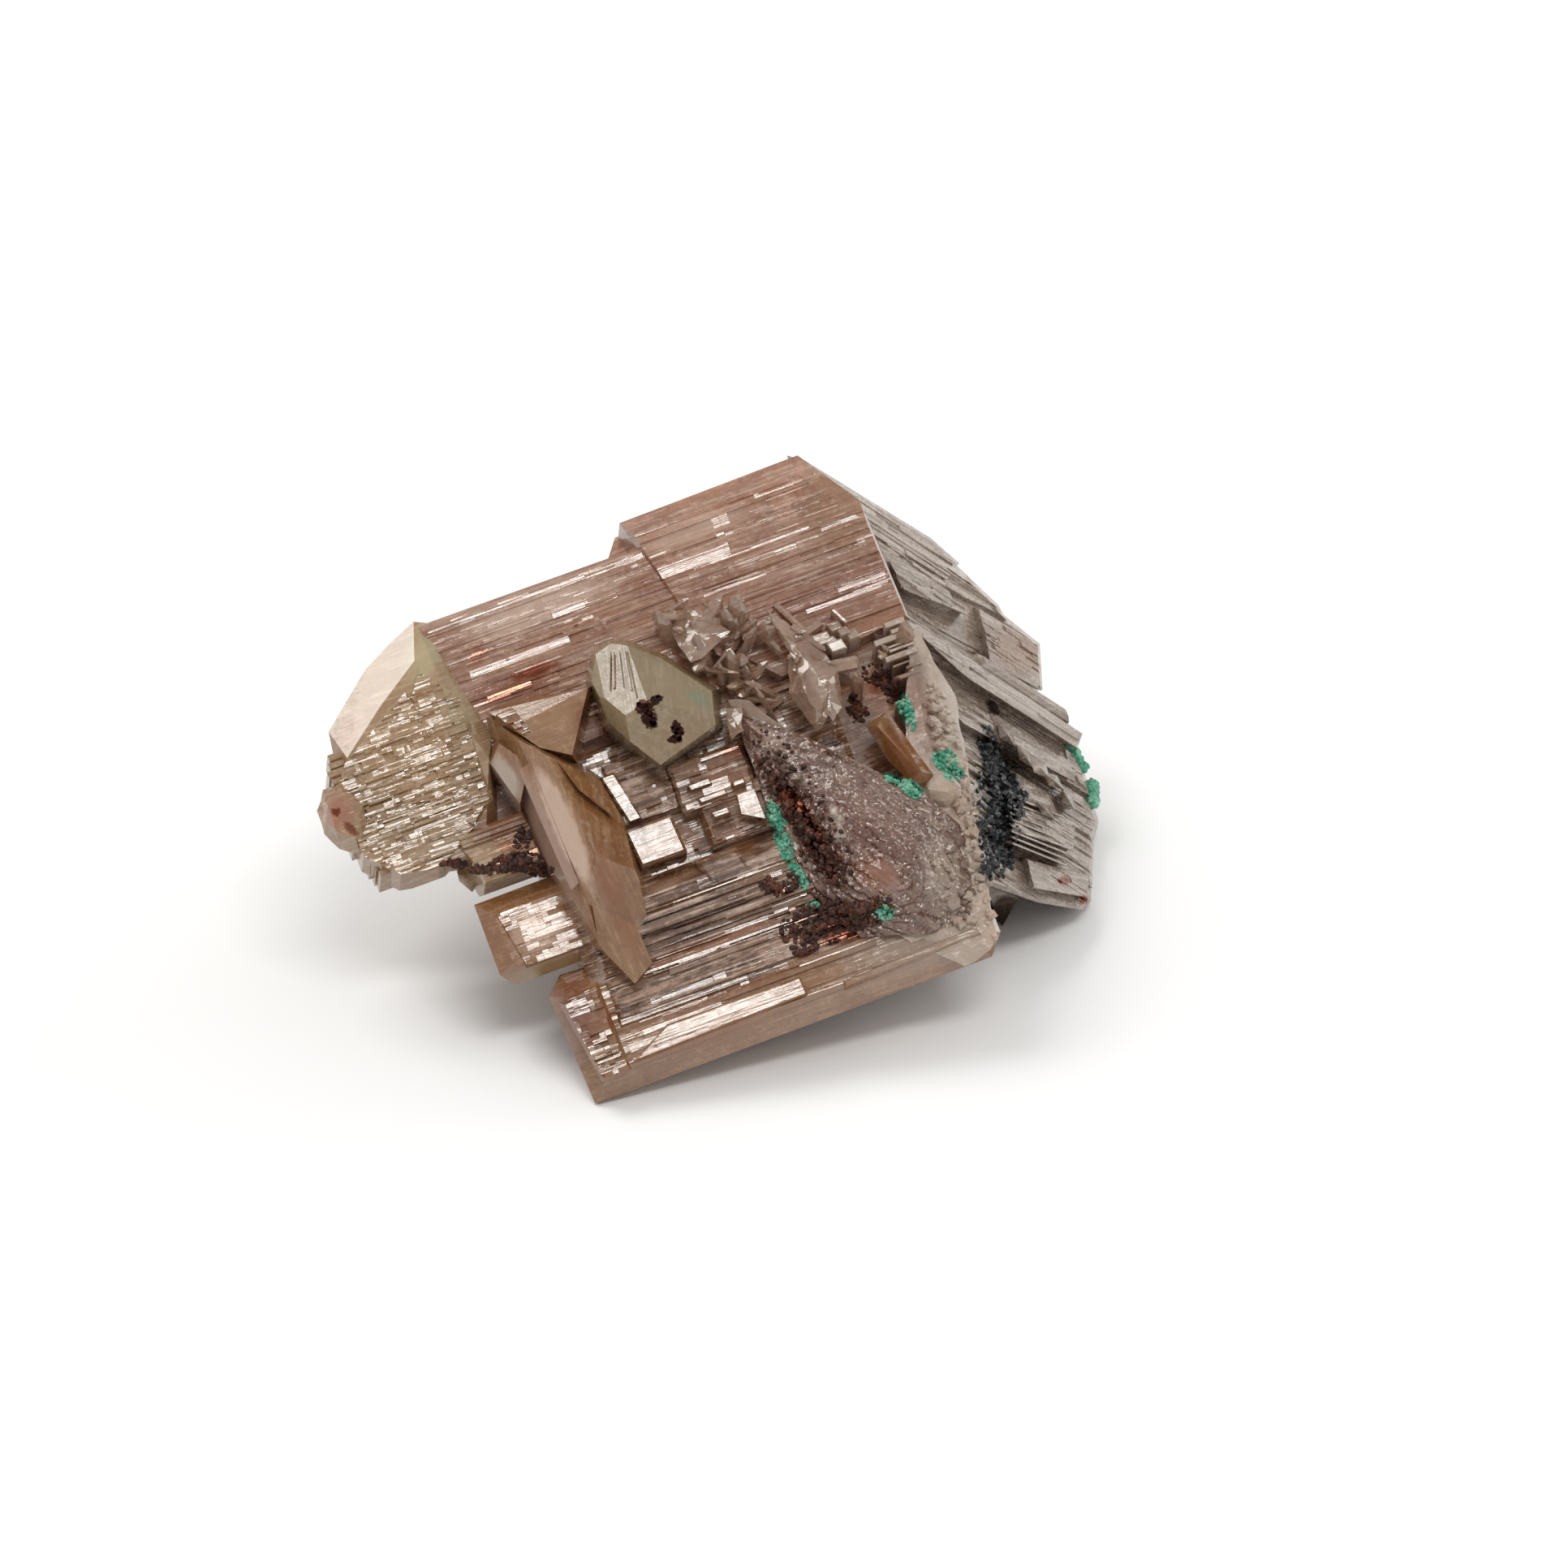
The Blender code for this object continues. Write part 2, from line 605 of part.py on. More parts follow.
def wing():
    """The second individual: plates that run down to the right from the ridge, stepped at their ends."""
    plates = [
        wing_tablet(((1.1, 17.35), (2.3, 16.6), (7.87, 13.17), (9.39, 11.83), (8.4, 10.9), (1.9, 15.2)), 0.0, 2.2),
        wing_tablet(((1.7, 16.2), (9.0, 11.7), (10.1, 10.9), (11.5, 9.57), (11.96, 8.74), (2.6, 13.4)), 0.3, 2.4),
        wing_tablet(((3.0, 13.6), (11.6, 9.2), (13.7, 7.52), (13.85, 5.04), (4.2, 10.2)), -0.15, 2.4),
        wing_tablet(((3.4, 11.0), (9.3, 6.9), (14.0, 4.3), (15.09, 3.65), (15.4, 2.8), (5.4, 7.6)), 0.45, 3.2),
        wing_tablet(((4.4, 8.8), (15.2, 3.0), (16.04, 0.83), (16.5, -0.8), (6.6, 4.6)), 0.05, 3.4),
        wing_tablet(((5.6, 6.4), (16.2, 0.3), (16.85, -2.04), (16.5, -3.4), (8.0, 1.6)), -0.25, 3.6),
        wing_tablet(((6.5, 3.6), (16.6, -2.5), (16.5, -5.6), (9.2, -1.8)), -0.05, 3.4),
        wing_tablet(((8.0, 0.6), (16.4, -4.2), (16.45, -6.26), (15.96, -6.75), (13.61, -6.35), (10.6, -5.3)), -0.4, 2.4),
        wing_plate(9.4, 17.2, 8.5, 9.3, 1.0, 2.0, 0.2),
        wing_plate(3.0, 9.6, 4.4, 5.4, 0.75, 2.0, 0.2),
        wing_plate(9.6, 16.4, 11.8, 13.0, 0.35, 2.0, 0.25),
        wing_plate(9.0, 12.4, 15.6, 17.4, 0.3, 2.0, 0.25),
    ]
    spread = random.Random(11)
    for index in range(9):
        down = 3.6 + index * 2.2 + spread.uniform(-0.3, 0.3)
        start = spread.uniform(3.0, 8.0)
        length = spread.uniform(3.0, 8.0)
        reach = min(start + length, 16.4 - max(0.0, down - 12.0) * 0.55)
        width = spread.uniform(0.35, 0.8)
        out = 0.5 + spread.uniform(-0.1, 0.25)
        if reach - start > 1.0:
            plates.append(wing_plate(start, reach, down, down + width, out, 1.8, 0.1))
    fill = hull(
        [seen(on_wing(0.5, 1.5, -2.0)), seen(on_wing(13.0, 3.0, -2.5)), seen(on_wing(15.5, 12.0, -3.0))]
        + [seen(on_wing(9.0, 17.0, -2.5)), seen(on_wing(2.0, 20.0, -2.0)), seen(on_wing(0.5, 19.0, -1.5))]
        + [Vector((6.0, 16.5, -8.6)), Vector((12.0, 13.0, -9.2)), Vector((11.4, 8.0, -8.8)), Vector((2.0, 8.0, -9.0))]
    )
    return plates + [fill]


def feet():
    """The broken corners underneath that the group rests on, besides the slab's."""
    right = hull(
        [
            Vector((12.0, 1.9, -10.3)),
            Vector((11.0, 4.6, -10.8)),
            Vector((12.6, 5.2, -10.8)),
            Vector((10.6, 1.0, -6.0)),
            Vector((13.3, 2.4, -7.4)),
            Vector((13.0, 7.0, -5.0)),
            Vector((9.0, 6.0, -4.0)),
            Vector((10.4, 2.6, -8.0)),
        ]
    )
    left = hull(
        [
            Vector((-12.4, 7.8, -10.8)),
            Vector((-8.6, 7.2, -10.8)),
            Vector((-7.4, 11.4, -10.8)),
            Vector((-11.4, 11.2, -10.8)),
            Vector((-13.6, 6.4, -4.0)),
            Vector((-6.0, 6.0, -4.0)),
            Vector((-6.0, 12.0, -4.0)),
            Vector((-13.0, 10.0, -2.0)),
        ]
    )
    return [right, left]


def back_plates():
    """Plates that show on the back, stepped like those in front."""
    plates = [
        tablet(((-13.0, 13.4), (4.0, 13.9), (4.0, 2.0), (-12.0, 2.0)), -4.6, 4.6, 0.5, 0.5),
        tablet(((-10.0, 12.2), (6.4, 12.8), (6.0, 0.0), (-9.0, 0.0)), -8.0, 3.6, 0.5, 0.5),
        tablet(((-14.4, 9.8), (-4.0, 9.8), (-4.0, 0.0), (-13.4, 0.0)), -6.4, 3.6, 0.4, 0.4),
    ]
    return plates


# The growths: lines in the drawing (u, v, u, v) that each follows, the radius of its beads and their number
MALACHITE = {
    "malachite_ridge_tuft": (((6.3, 4.9, 6.9, 3.0),), 0.48, 3),
    "malachite_pocket_tuft": (((8.0, 1.7, 9.3, 0.4), (8.5, 0.6, 9.0, 1.6)), 0.58, 2),
    "malachite_ledge_tuft": (((5.7, 0.35, 7.4, -0.6),), 0.48, 3),
    "malachite_string": (((-0.6, -1.2, 0.75, -5.3),), 0.45, 6),
    "malachite_toe_tuft": (((5.1, -6.9, 5.8, -7.5),), 0.42, 2),
    "malachite_rim_tuft": (((15.25, 1.9, 15.9, 0.95),), 0.42, 2),
    "malachite_ball": (((16.7, 0.05, 16.6, -0.85),), 0.42, 2),
}
OXIDE = {
    "iron_oxide_fringe": (((-18.3, -4.2, -13.0, -4.65),), 0.5, 6),
    "iron_oxide_crust": (((0.4, -6.5, 3.6, -7.2),), 0.75, 4),
}
ORE = {
    "black_ore_patch": (((10.6, 2.2, 12.1, -5.0), (11.6, 0.4, 10.8, -4.6)), 1.0, 4),
}


def nearest_place(tree, u, v, radius):
    """The true point where a growth drawn at (u, v) sits on the crystals."""
    eye = FROM_DRAWING @ Vector((0, 0, EYE_DISTANCE))
    drawn = min(on_face(u, v, 0.0), on_wing_face(u, v, 0.0), key=lambda point: point.z)
    target = seen(drawn)
    met = tree.ray_cast(eye, (target - eye).normalized())[0]
    if met is not None:
        return met + (eye - met).normalized() * radius * 0.15
    beside = tree.find_nearest(target)[0]
    away = (target - beside).length
    return beside.lerp(target, min(1.0, 0.6 * radius / away))


def beads(tree, lines, radius, count, seed, grow=0.0):
    """Touching beads along drawn lines, half sunk in whatever they meet; grow makes them larger."""
    spread = random.Random(seed)
    places = []
    for index in range(count * len(lines)):
        line, step = divmod(index, count)
        u_from, v_from, u_to, v_to = lines[line]
        part = step / max(1, count - 1)
        u = u_from + (u_to - u_from) * part + spread.uniform(-0.3, 0.3) * radius
        v = v_from + (v_to - v_from) * part + spread.uniform(-0.3, 0.3) * radius
        place = nearest_place(tree, u, v, radius)
        if places:
            before = min(places, key=lambda other: (other - place).length)
            between = int((place - before).length / (radius * BEAD_SPACING))
            for extra in range(between):
                places.append(before.lerp(place, (extra + 1) / (between + 1)))
        places.append(place)
    made = []
    for index, place in enumerate(places):
        size = radius * spread.uniform(0.9, 1.2)
        made.append(lump(place, size + grow, seed * 100 + index))
    return made


def as_object(name, shape):
    """A mesh object in metres about the part's own origin."""
    shift = Matrix.Translation((-CENTRE_X, -CENTRE_Y, -RESTING_HEIGHT))
    shape.transform(Matrix.Scale(MM, 4) @ shift)
    mesh = bpy.data.meshes.new(name)
    shape.to_mesh(mesh)
    shape.free()
    made = bpy.data.objects.new(name, mesh)
    bpy.context.scene.collection.objects.link(made)
    return made


def evaluated(made):
    """A new mesh of the object with its modifiers worked in."""
    graph = bpy.context.evaluated_depsgraph_get()
    return bpy.data.meshes.new_from_object(made.evaluated_get(graph))


def is_closed(mesh):
    """Whether every edge of the mesh has just two faces."""
    shape = bmesh.new()
    shape.from_mesh(mesh)
    closed = all(edge.is_manifold for edge in shape.edges) and len(shape.faces) > 3
    shape.free()
    return closed


def combine(made, operation, shapes):
    """The object joined with, or cut by, every shape in turn."""
    for shape in shapes:
        other = as_object("helper", shape)
        step = made.modifiers.new("step", "BOOLEAN")
        step.operation = operation
        step.solver = "EXACT"
        step.object = other
        mesh = evaluated(made)
        if not is_closed(mesh):
            step.solver = "MANIFOLD"
            bpy.data.meshes.remove(mesh)
            mesh = evaluated(made)
        made.modifiers.clear()
        made.data = mesh
        bpy.data.objects.remove(other)
    return made


def resting_plane():
    """The block of space below what the group rests on."""
    shape = bmesh.new()
    bmesh.ops.create_cube(shape, size=FLOOR_BLOCK)
    bmesh.ops.translate(shape, vec=(0, 0, RESTING_HEIGHT - FLOOR_BLOCK / 2), verts=shape.verts)
    return shape


def tidy(made):
    """Flat faces made whole again, so that few triangles are left."""
    shape = bmesh.new()
    shape.from_mesh(made.data)
    bmesh.ops.remove_doubles(shape, verts=shape.verts, dist=1e-6)
    bmesh.ops.dissolve_limit(shape, angle_limit=math.radians(0.4), verts=shape.verts, edges=shape.edges)
    bmesh.ops.triangulate(shape, faces=shape.faces)
    shape.to_mesh(made.data)
    shape.free()


def surface_tree(made):
    """A search tree over the object's surface, in millimetres about the drawing's centre."""
    shape = bmesh.new()
    shape.from_mesh(made.data)
    shape.transform(Matrix.Translation((CENTRE_X, CENTRE_Y, RESTING_HEIGHT)) @ Matrix.Scale(1 / MM, 4))
    tree = BVHTree.FromBMesh(shape)
    shape.free()
    return tree


def finish(made, name, colour, roughness, metallic=0.0, see_through=0.0):
    """The part's own material."""
    material = bpy.data.materials.new(name)
    material.use_nodes = True
    shader = material.node_tree.nodes["Principled BSDF"]
    shader.inputs["Base Color"].default_value = (*colour, 1)
    shader.inputs["Roughness"].default_value = roughness
    shader.inputs["Metallic"].default_value = metallic
    shader.inputs["Transmission Weight"].default_value = see_through
    made.data.materials.clear()
    made.data.materials.append(material)


def main():
    for old in list(bpy.data.objects):
        bpy.data.objects.remove(old)
    shapes = main_body() + top_plates() + back_plates() + front_steps() + lower_slab() + small_block()
    shapes += left_knob() + blade() + standing_crystals() + clear_cluster() + front_wedge() + wing() + feet()
    shapes += striations(21, (-14.6, -2.2, 9.6, 14.0), -0.75, 8)
    shapes += striations(22, (-1.0, 8.4, 6.8, 14.8), 0.0, 10)
    shapes += striations(23, (-12.0, 2.4, -8.6, -3.0), 1.35, 8)
    shapes += striations(24, (-22.4, -15.6, 2.6, 8.8), 0.85, 7)
    crystals = as_object("cerussite_crystals", shapes[0])
    combine(crystals, "UNION", shapes[1:])
    combine(crystals, "DIFFERENCE", [resting_plane()])
    tree = surface_tree(crystals)
    growths = []
    for group, colour, roughness in (
        (MALACHITE, (0.06, 0.36, 0.22), 0.55),
        (OXIDE, (0.11, 0.03, 0.015), 0.7),
        (ORE, (0.03, 0.035, 0.04), 0.35),
    ):
        for seed, (name, (lines, radius, count)) in enumerate(group.items()):
            combine(crystals, "DIFFERENCE", beads(tree, lines, radius, count, seed + 1, POCKET_GAP))
            bead_shapes = beads(tree, lines, radius, count, seed + 1)
            growth = as_object(name, bead_shapes[0])
            combine(growth, "UNION", bead_shapes[1:])
            growths.append((growth, colour, roughness))
    tidy(crystals)
    finish(crystals, "cerussite", (0.50, 0.33, 0.25), 0.12, 0.0, 0.6)
    for growth, colour, roughness in growths:
        tidy(growth)
        finish(growth, growth.name, colour, roughness)


main()
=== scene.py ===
"""The finished look of the cerussite with malachite, built on its solids.

The crystals are cut from flat-faced blocks. Their faces carry a relief of long narrow steps, the striations, that
run the same way on every part of one individual. All shapes are laid out on the same front drawing as the solids, in
millimetres: u to the right, v up, w towards the eye. Along the striations of the main individual runs p, and q runs
across them.
"""

import math
import random

import bmesh
import bpy
from mathutils import Matrix, Vector, noise
from mathutils.bvhtree import BVHTree


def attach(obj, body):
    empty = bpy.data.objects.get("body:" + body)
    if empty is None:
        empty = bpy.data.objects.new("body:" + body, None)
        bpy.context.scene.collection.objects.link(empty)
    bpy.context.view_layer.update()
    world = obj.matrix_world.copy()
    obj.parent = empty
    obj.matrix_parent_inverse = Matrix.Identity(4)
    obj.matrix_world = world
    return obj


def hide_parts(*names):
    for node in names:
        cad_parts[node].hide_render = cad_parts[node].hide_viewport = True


bl_info = {
    "name": "Cerussite with malachite",
    "version": (1, 0, 0),
    "blender": (4, 5, 0),
    "location": "View3D > Sidebar > Mineral",
    "description": "Builds a group of striated cerussite crystals with malachite tufts",
    "category": "Add Mesh",
}

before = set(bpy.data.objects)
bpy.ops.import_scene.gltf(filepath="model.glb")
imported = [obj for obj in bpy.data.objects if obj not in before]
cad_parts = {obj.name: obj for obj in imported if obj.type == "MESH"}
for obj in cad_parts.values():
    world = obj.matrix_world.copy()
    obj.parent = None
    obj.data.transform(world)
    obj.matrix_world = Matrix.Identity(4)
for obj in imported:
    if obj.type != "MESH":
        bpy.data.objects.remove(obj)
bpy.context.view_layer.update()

# The drawing, in millimetres and degrees
EYE_DISTANCE = 250.0
EYE_HEIGHT = 28.0
RESTING_HEIGHT = -9.85
CENTRE = Vector((-3.307, 3.854, RESTING_HEIGHT))
STRIATION_RISE = 20.0
PICTURE_HALF = 42.0
MM = 0.001

# The main face in the drawing: how near it is at the centre, and how that changes along u and v
FACE_NEAR = 2.77
FACE_ALONG_U = -0.049
FACE_ALONG_V = -0.4623

# Directions in the drawing, each of unit length
ALONG_MAIN = Vector((0.92, 0.335, -0.20)).normalized()
DOWN_FACE = Vector((0.36, -0.85, 0.385)).normalized()
OUT_OF_MAIN = DOWN_FACE.cross(ALONG_MAIN).normalized()
ALONG_WING = Vector((0.60, -0.39, -0.70)).normalized()
OUT_OF_WING = DOWN_FACE.cross(ALONG_WING).normalized()
BEHIND_WING = Vector((-0.45, 0.12, -1.0)).normalized()
RIDGE_TOP = Vector((1.0, 17.5, -5.6))
MAIN_AXES = (ALONG_MAIN, DOWN_FACE, OUT_OF_MAIN)
WEDGE_AXES = (Vector((0.788, -0.616, 0.0)), Vector((0.616, 0.788, 0.0)), Vector((0.0, 0.0, 1.0)))
WING_AXES = (ALONG_WING, DOWN_FACE, OUT_OF_WING)

# Strips tipped this many degrees towards the viewer throw the strip light into the eye
FLASH_TIP = 9.0

CRYSTALS = "cerussite_crystals"


def turn_drawing():
    """The matrix from drawing directions to true ones: x to the right, y away and z up."""
    sine = math.sin(math.radians(EYE_HEIGHT))
    cosine = math.cos(math.radians(EYE_HEIGHT))
    return Matrix(((1, 0, 0), (0, sine, -cosine), (0, cosine, sine)))


FROM_DRAWING = turn_drawing()


def seen(point):
    """The true place, in millimetres, of a drawn point (u, v, w)."""
    point = Vector(point)
    return FROM_DRAWING @ (point * (EYE_DISTANCE / (EYE_DISTANCE + point.z)))


def on_face(u, v, lift):
    """A drawn point that stands lift nearer than the main face."""
    return Vector((u, v, FACE_NEAR + FACE_ALONG_U * u + FACE_ALONG_V * v + lift))


def along_striations(p, q, lift):
    """A drawn point p along the striations and q across them, lift in front of the main face."""
    turn = math.radians(STRIATION_RISE)
    u = p * math.cos(turn) - q * math.sin(turn)
    v = p * math.sin(turn) + q * math.cos(turn)
    return on_face(u, v, lift)


def on_wing(along, down, out):
    """A drawn point on the wing: along its plates, down from the ridge top, and out of its face."""
    return RIDGE_TOP + ALONG_WING * along + DOWN_FACE * down + OUT_OF_WING * out


def on_wing_face(u, v, out):
    """A drawn point (u, v) whose distance out of the wing's face is given."""
    across = OUT_OF_WING.x * (u - RIDGE_TOP.x) + OUT_OF_WING.y * (v - RIDGE_TOP.y)
    return Vector((u, v, RIDGE_TOP.z + (out - across) / OUT_OF_WING.z))


def hull(points):
    """A closed convex solid round true points."""
    shape = bmesh.new()
    for point in points:
        shape.verts.new(point)
    made = bmesh.ops.convex_hull(shape, input=shape.verts)
    inside = {item for item in made["geom_interior"] + made["geom_unused"] if isinstance(item, bmesh.types.BMVert)}
    bmesh.ops.delete(shape, geom=list(inside), context="VERTS")
    bmesh.ops.dissolve_limit(shape, angle_limit=math.radians(0.3), verts=shape.verts, edges=shape.edges)
    bmesh.ops.recalc_face_normals(shape, faces=shape.faces)
    return shape


def inset(corners, by):
    """Convex corners, in turn, moved inwards by one distance, or by one for each side."""
    count = len(corners)
    distances = by if isinstance(by, tuple) else (by,) * count
    middle = sum((Vector(corner) for corner in corners), Vector((0, 0))) / count
    sides = []
    for index, corner in enumerate(corners):
        start = Vector(corner)
        side = (Vector(corners[(index + 1) % count]) - start).normalized()
        normal = Vector((-side.y, side.x))
        if normal.dot(middle - start) < 0:
            normal.negate()
        sides.append((start + normal * distances[index], side))
    moved = []
    for index, (start, side) in enumerate(sides):
        before, before_side = sides[index - 1]
        turn = before_side.x * side.y - before_side.y * side.x
        offset = start - before
        reach = (offset.x * side.y - offset.y * side.x) / turn
        moved.append(before + before_side * reach)
    return moved


def tablet(corners, lift, thick, rim=0.3, rim_drop=0.35, back_rim=0.0, tip=0.0):
    """A plate of the main individual, drawn by its outline (p, q), with bevelled edges in front and behind.

    tip turns its front towards the viewer, in degrees.
    """
    behind = OUT_OF_MAIN * (thick - rim_drop)
    slope = math.tan(math.radians(tip))
    middle = sum(corner[1] for corner in corners) / len(corners)
    points = []
    for p, q in inset(corners, rim):
        points.append(along_striations(p, q, lift + slope * (q - middle)))
    for p, q in corners:
        points.append(along_striations(p, q, lift - rim_drop + slope * (q - middle)))
    for p, q in inset(corners, back_rim):
        points.append(along_striations(p, q, lift - rim_drop) - behind)
    return hull([seen(point) for point in points])


def wing_tablet(corners, out, thick, rim=0.25, drop=0.3):
    """A plate of the wing, drawn by its outline (u, v), with bevelled edges."""
    points = []
    for u, v in inset(corners, rim):
        points.append(on_wing_face(u, v, out))
    for u, v in corners:
        edge = on_wing_face(u, v, out - drop)
        points.append(edge)
        points.append(edge + BEHIND_WING * thick)
    return hull([seen(point) for point in points])


def crystal(front_points, back=()):
    """A free-standing crystal: drawn points (u, v, lift) off the main face, and true points behind."""
    points = [seen(on_face(*point)) for point in front_points]
    points += [Vector(point) for point in back]
    return hull(points)


def carved(middle, faces, reach=14.0):
    """A crystal cut from a block by flat faces; each face is three drawn points (u, v, lift)."""
    shape = bmesh.new()
    bmesh.ops.create_cube(shape, size=2 * reach)
    inside = on_face(*middle)
    bmesh.ops.translate(shape, vec=inside, verts=shape.verts)
    for face in faces:
        first, second, third = (on_face(*point) for point in face)
        normal = (second - first).cross(third - first).normalized()
        if normal.dot(inside - first) > 0:
            normal.negate()
        geometry = shape.verts[:] + shape.edges[:] + shape.faces[:]
        bmesh.ops.bisect_plane(shape, geom=geometry, plane_co=first, plane_no=normal, clear_outer=True)
        corners = [vertex.co.copy() for vertex in shape.verts]
        shape.free()
        shape = hull(corners)
    corners = [seen(vertex.co) for vertex in shape.verts]
    shape.free()
    return hull(corners)


def edge_face(start, end, lean=0.15):
    """A side face that runs back from a drawn edge, leaning outwards on the right of start to end."""
    along = Vector((end[0] - start[0], end[1] - start[1])).normalized()
    outward = Vector((along.y, -along.x)) * lean
    behind = (start[0] + outward.x, start[1] + outward.y, start[2] - 1.0)
    return (start, end, behind)


def outline_faces(corners, lean=0.15):
    """Side faces that run back from a drawn outline (u, v), given clockwise."""
    faces = []
    for index, (u, v) in enumerate(corners):
        next_u, next_v = corners[(index + 1) % len(corners)]
        faces.append(edge_face((next_u, next_v, 1.0), (u, v, 1.0), lean))
    return faces


def lattice(spread, start, end, narrowest, widest):
    """Uneven lattice lines from start to end."""
    made = [start]
    while made[-1] < end - widest:
        made.append(made[-1] + spread.uniform(narrowest, widest))
    made.append(end)
    return made


class Steps:
    """The heights of a relief in two layers: bands of strips that step together, and fine steps of each strip.

    look names the cell lengths, strip widths, least and greatest height, mean length of a run in cells, mean number
    of strips in a band, how far bands may tip either way, how far the level drifts from band to band, the share that
    flashes, and the rise, tip and mean run of the fine steps. bright lists places (along from and to, across from and
    to, share, strength) where that share of the runs is tipped to flash and the relief has another strength.
    """

    def __init__(self, seed, along, across, look, bright=()):
        self.spread = random.Random(seed)
        self.along = along
        self.across = across
        self.look = look
        self.bright = bright
        self.bands = {}
        self.cells = {}
        rows = len(across) - 1
        row = 0
        level = 0.0
        while row < rows:
            last = row + int(self.spread.expovariate(1.0 / look["band"]))
            zones = self.zones(row)
            following = row + 1
            while following < rows and following <= last and self.zones(following) == zones:
                following += 1
            level = 0.75 * level + self.spread.uniform(-look["drift"], look["drift"])
            self.band(row, following, level, zones)
            row = following
        for row in range(rows):
            self.fine(row)

    def middle(self, row):
        """The middle of a strip."""
        return 0.5 * (self.across[row] + self.across[row + 1])

    def zones(self, row):
        """The bright places that a strip crosses."""
        return [zone for zone in self.bright if zone[2] <= self.middle(row) <= zone[3]]

    def band(self, first, following, level, zones):
        """Gives a band of strips its runs, each with a height and a slope about the band's middle."""
        look = self.look
        low, high = look["heights"]
        centre = 0.5 * (self.across[first] + self.across[following])
        column = 0
        while column < len(self.along) - 1:
            run = 1 + int(self.spread.expovariate(1.0 / look["run"]))
            height = level + low + (high - low) * self.spread.random()
            tip = self.spread.uniform(*look["tips"])
            shine = self.spread.random()
            chance = look["flash"]
            for start, end, lower, upper, share, strength in zones:
                if start <= self.along[column] <= end:
                    chance = share
                    height = level + (height - level) * strength
                    tip *= min(strength, 1.0)
                    run = min(run, 1 + int((end - self.along[column]) / look["cells"][1]))
            if shine < chance:
                tip = FLASH_TIP + self.spread.uniform(-1.5, 1.5)
            slope = math.tan(math.radians(tip))
            for step in range(column, min(len(self.along) - 1, column + run)):
                for row in range(first, following):
                    self.bands[step, row] = (height + slope * (self.middle(row) - centre), slope)
            column += run

    def fine(self, row):
        """Adds the fine steps of one strip."""
        rise, tip, mean_run = self.look["fine"]
        column = 0
        while column < len(self.along) - 1:
            run = 1 + int(self.spread.expovariate(1.0 / mean_run))
            own_rise = self.spread.uniform(-rise, rise)
            lean = math.tan(math.radians(self.spread.uniform(-tip, tip)))
            for step in range(column, min(len(self.along) - 1, column + run)):
                height, slope = self.bands[step, row]
                self.cells[step, row] = (height + own_rise, slope + lean)
            column += run

    def height(self, column, row, across):
        """The lift at a place across the strips, in a cell of the lattice."""
        height, slope = self.cells[column, row]
        return height + slope * (across - self.middle(row))


def doubled(values, wall):
    """Each lattice line but the outer ones as two, a wall's width apart, with the cell that each belongs to."""
    made = []
    last = len(values) - 2
    for index in range(len(values) - 1):
        made.append((index, values[index] + (wall if index else 0.0)))
        made.append((index, values[index + 1] - (wall if index < last else 0.0)))
    return made


def relief(place, along, across, steps, depth, wall=0.008):
    """A closed block with a stepped top; place turns (along, across, lift) into a drawn point."""
    columns = doubled(along, wall)
    rows = doubled(across, wall)
    shape = bmesh.new()
    top = []
    for column, a in columns:
        top.append([shape.verts.new(seen(place(a, b, steps.height(column, row, b)))) for row, b in rows])
    wide = len(columns)
    high = len(rows)
    for x in range(wide - 1):
        for y in range(high - 1):
            shape.faces.new((top[x][y], top[x + 1][y], top[x + 1][y + 1], top[x][y + 1]))
    border = [(x, 0) for x in range(wide)]
    border += [(wide - 1, y) for y in range(1, high)]
    border += [(x, high - 1) for x in range(wide - 2, -1, -1)]
    border += [(0, y) for y in range(high - 2, 0, -1)]
    under = [shape.verts.new(seen(place(columns[x][1], rows[y][1], -depth))) for x, y in border]
    middle = (0.5 * (along[0] + along[-1]), 0.5 * (across[0] + across[-1]))
    bottom = shape.verts.new(seen(place(*middle, -depth - 0.2)))
    for index, (x, y) in enumerate(border):
        following = (index + 1) % len(border)
        next_x, next_y = border[following]
        shape.faces.new((top[next_x][next_y], top[x][y], under[index], under[following]))
        shape.faces.new((under[following], under[index], bottom))
    bmesh.ops.recalc_face_normals(shape, faces=shape.faces)
    return shape


def as_mesh(shape):
    """A mesh, in metres about the object's own origin, from a shape in millimetres."""
    shape.transform(Matrix.Scale(MM, 4) @ Matrix.Translation(-CENTRE))
    mesh = bpy.data.meshes.new("shape")
    shape.to_mesh(mesh)
    shape.free()
    return mesh


def is_closed(mesh):
    """Whether every edge of the mesh has just two faces."""
    shape = bmesh.new()
    shape.from_mesh(mesh)
    closed = all(edge.is_manifold for edge in shape.edges) and len(shape.faces) > 3
    shape.free()
    return closed


def combined(first, second, operation):
    """A mesh made of two closed ones by a boolean."""
    holders = []
    for mesh in (first, second):
        holder = bpy.data.objects.new("helper", mesh)
        bpy.context.scene.collection.objects.link(holder)
        holders.append(holder)
    step = holders[0].modifiers.new("step", "BOOLEAN")
    step.operation = operation
    step.object = holders[1]
    for solver in ("MANIFOLD", "EXACT"):
        step.solver = solver
        graph = bpy.context.evaluated_depsgraph_get()
        made = bpy.data.meshes.new_from_object(holders[0].evaluated_get(graph))
        if is_closed(made):
            break
    for holder in holders:
        bpy.data.objects.remove(holder)
    for mesh in (first, second):
        bpy.data.meshes.remove(mesh)
    return made


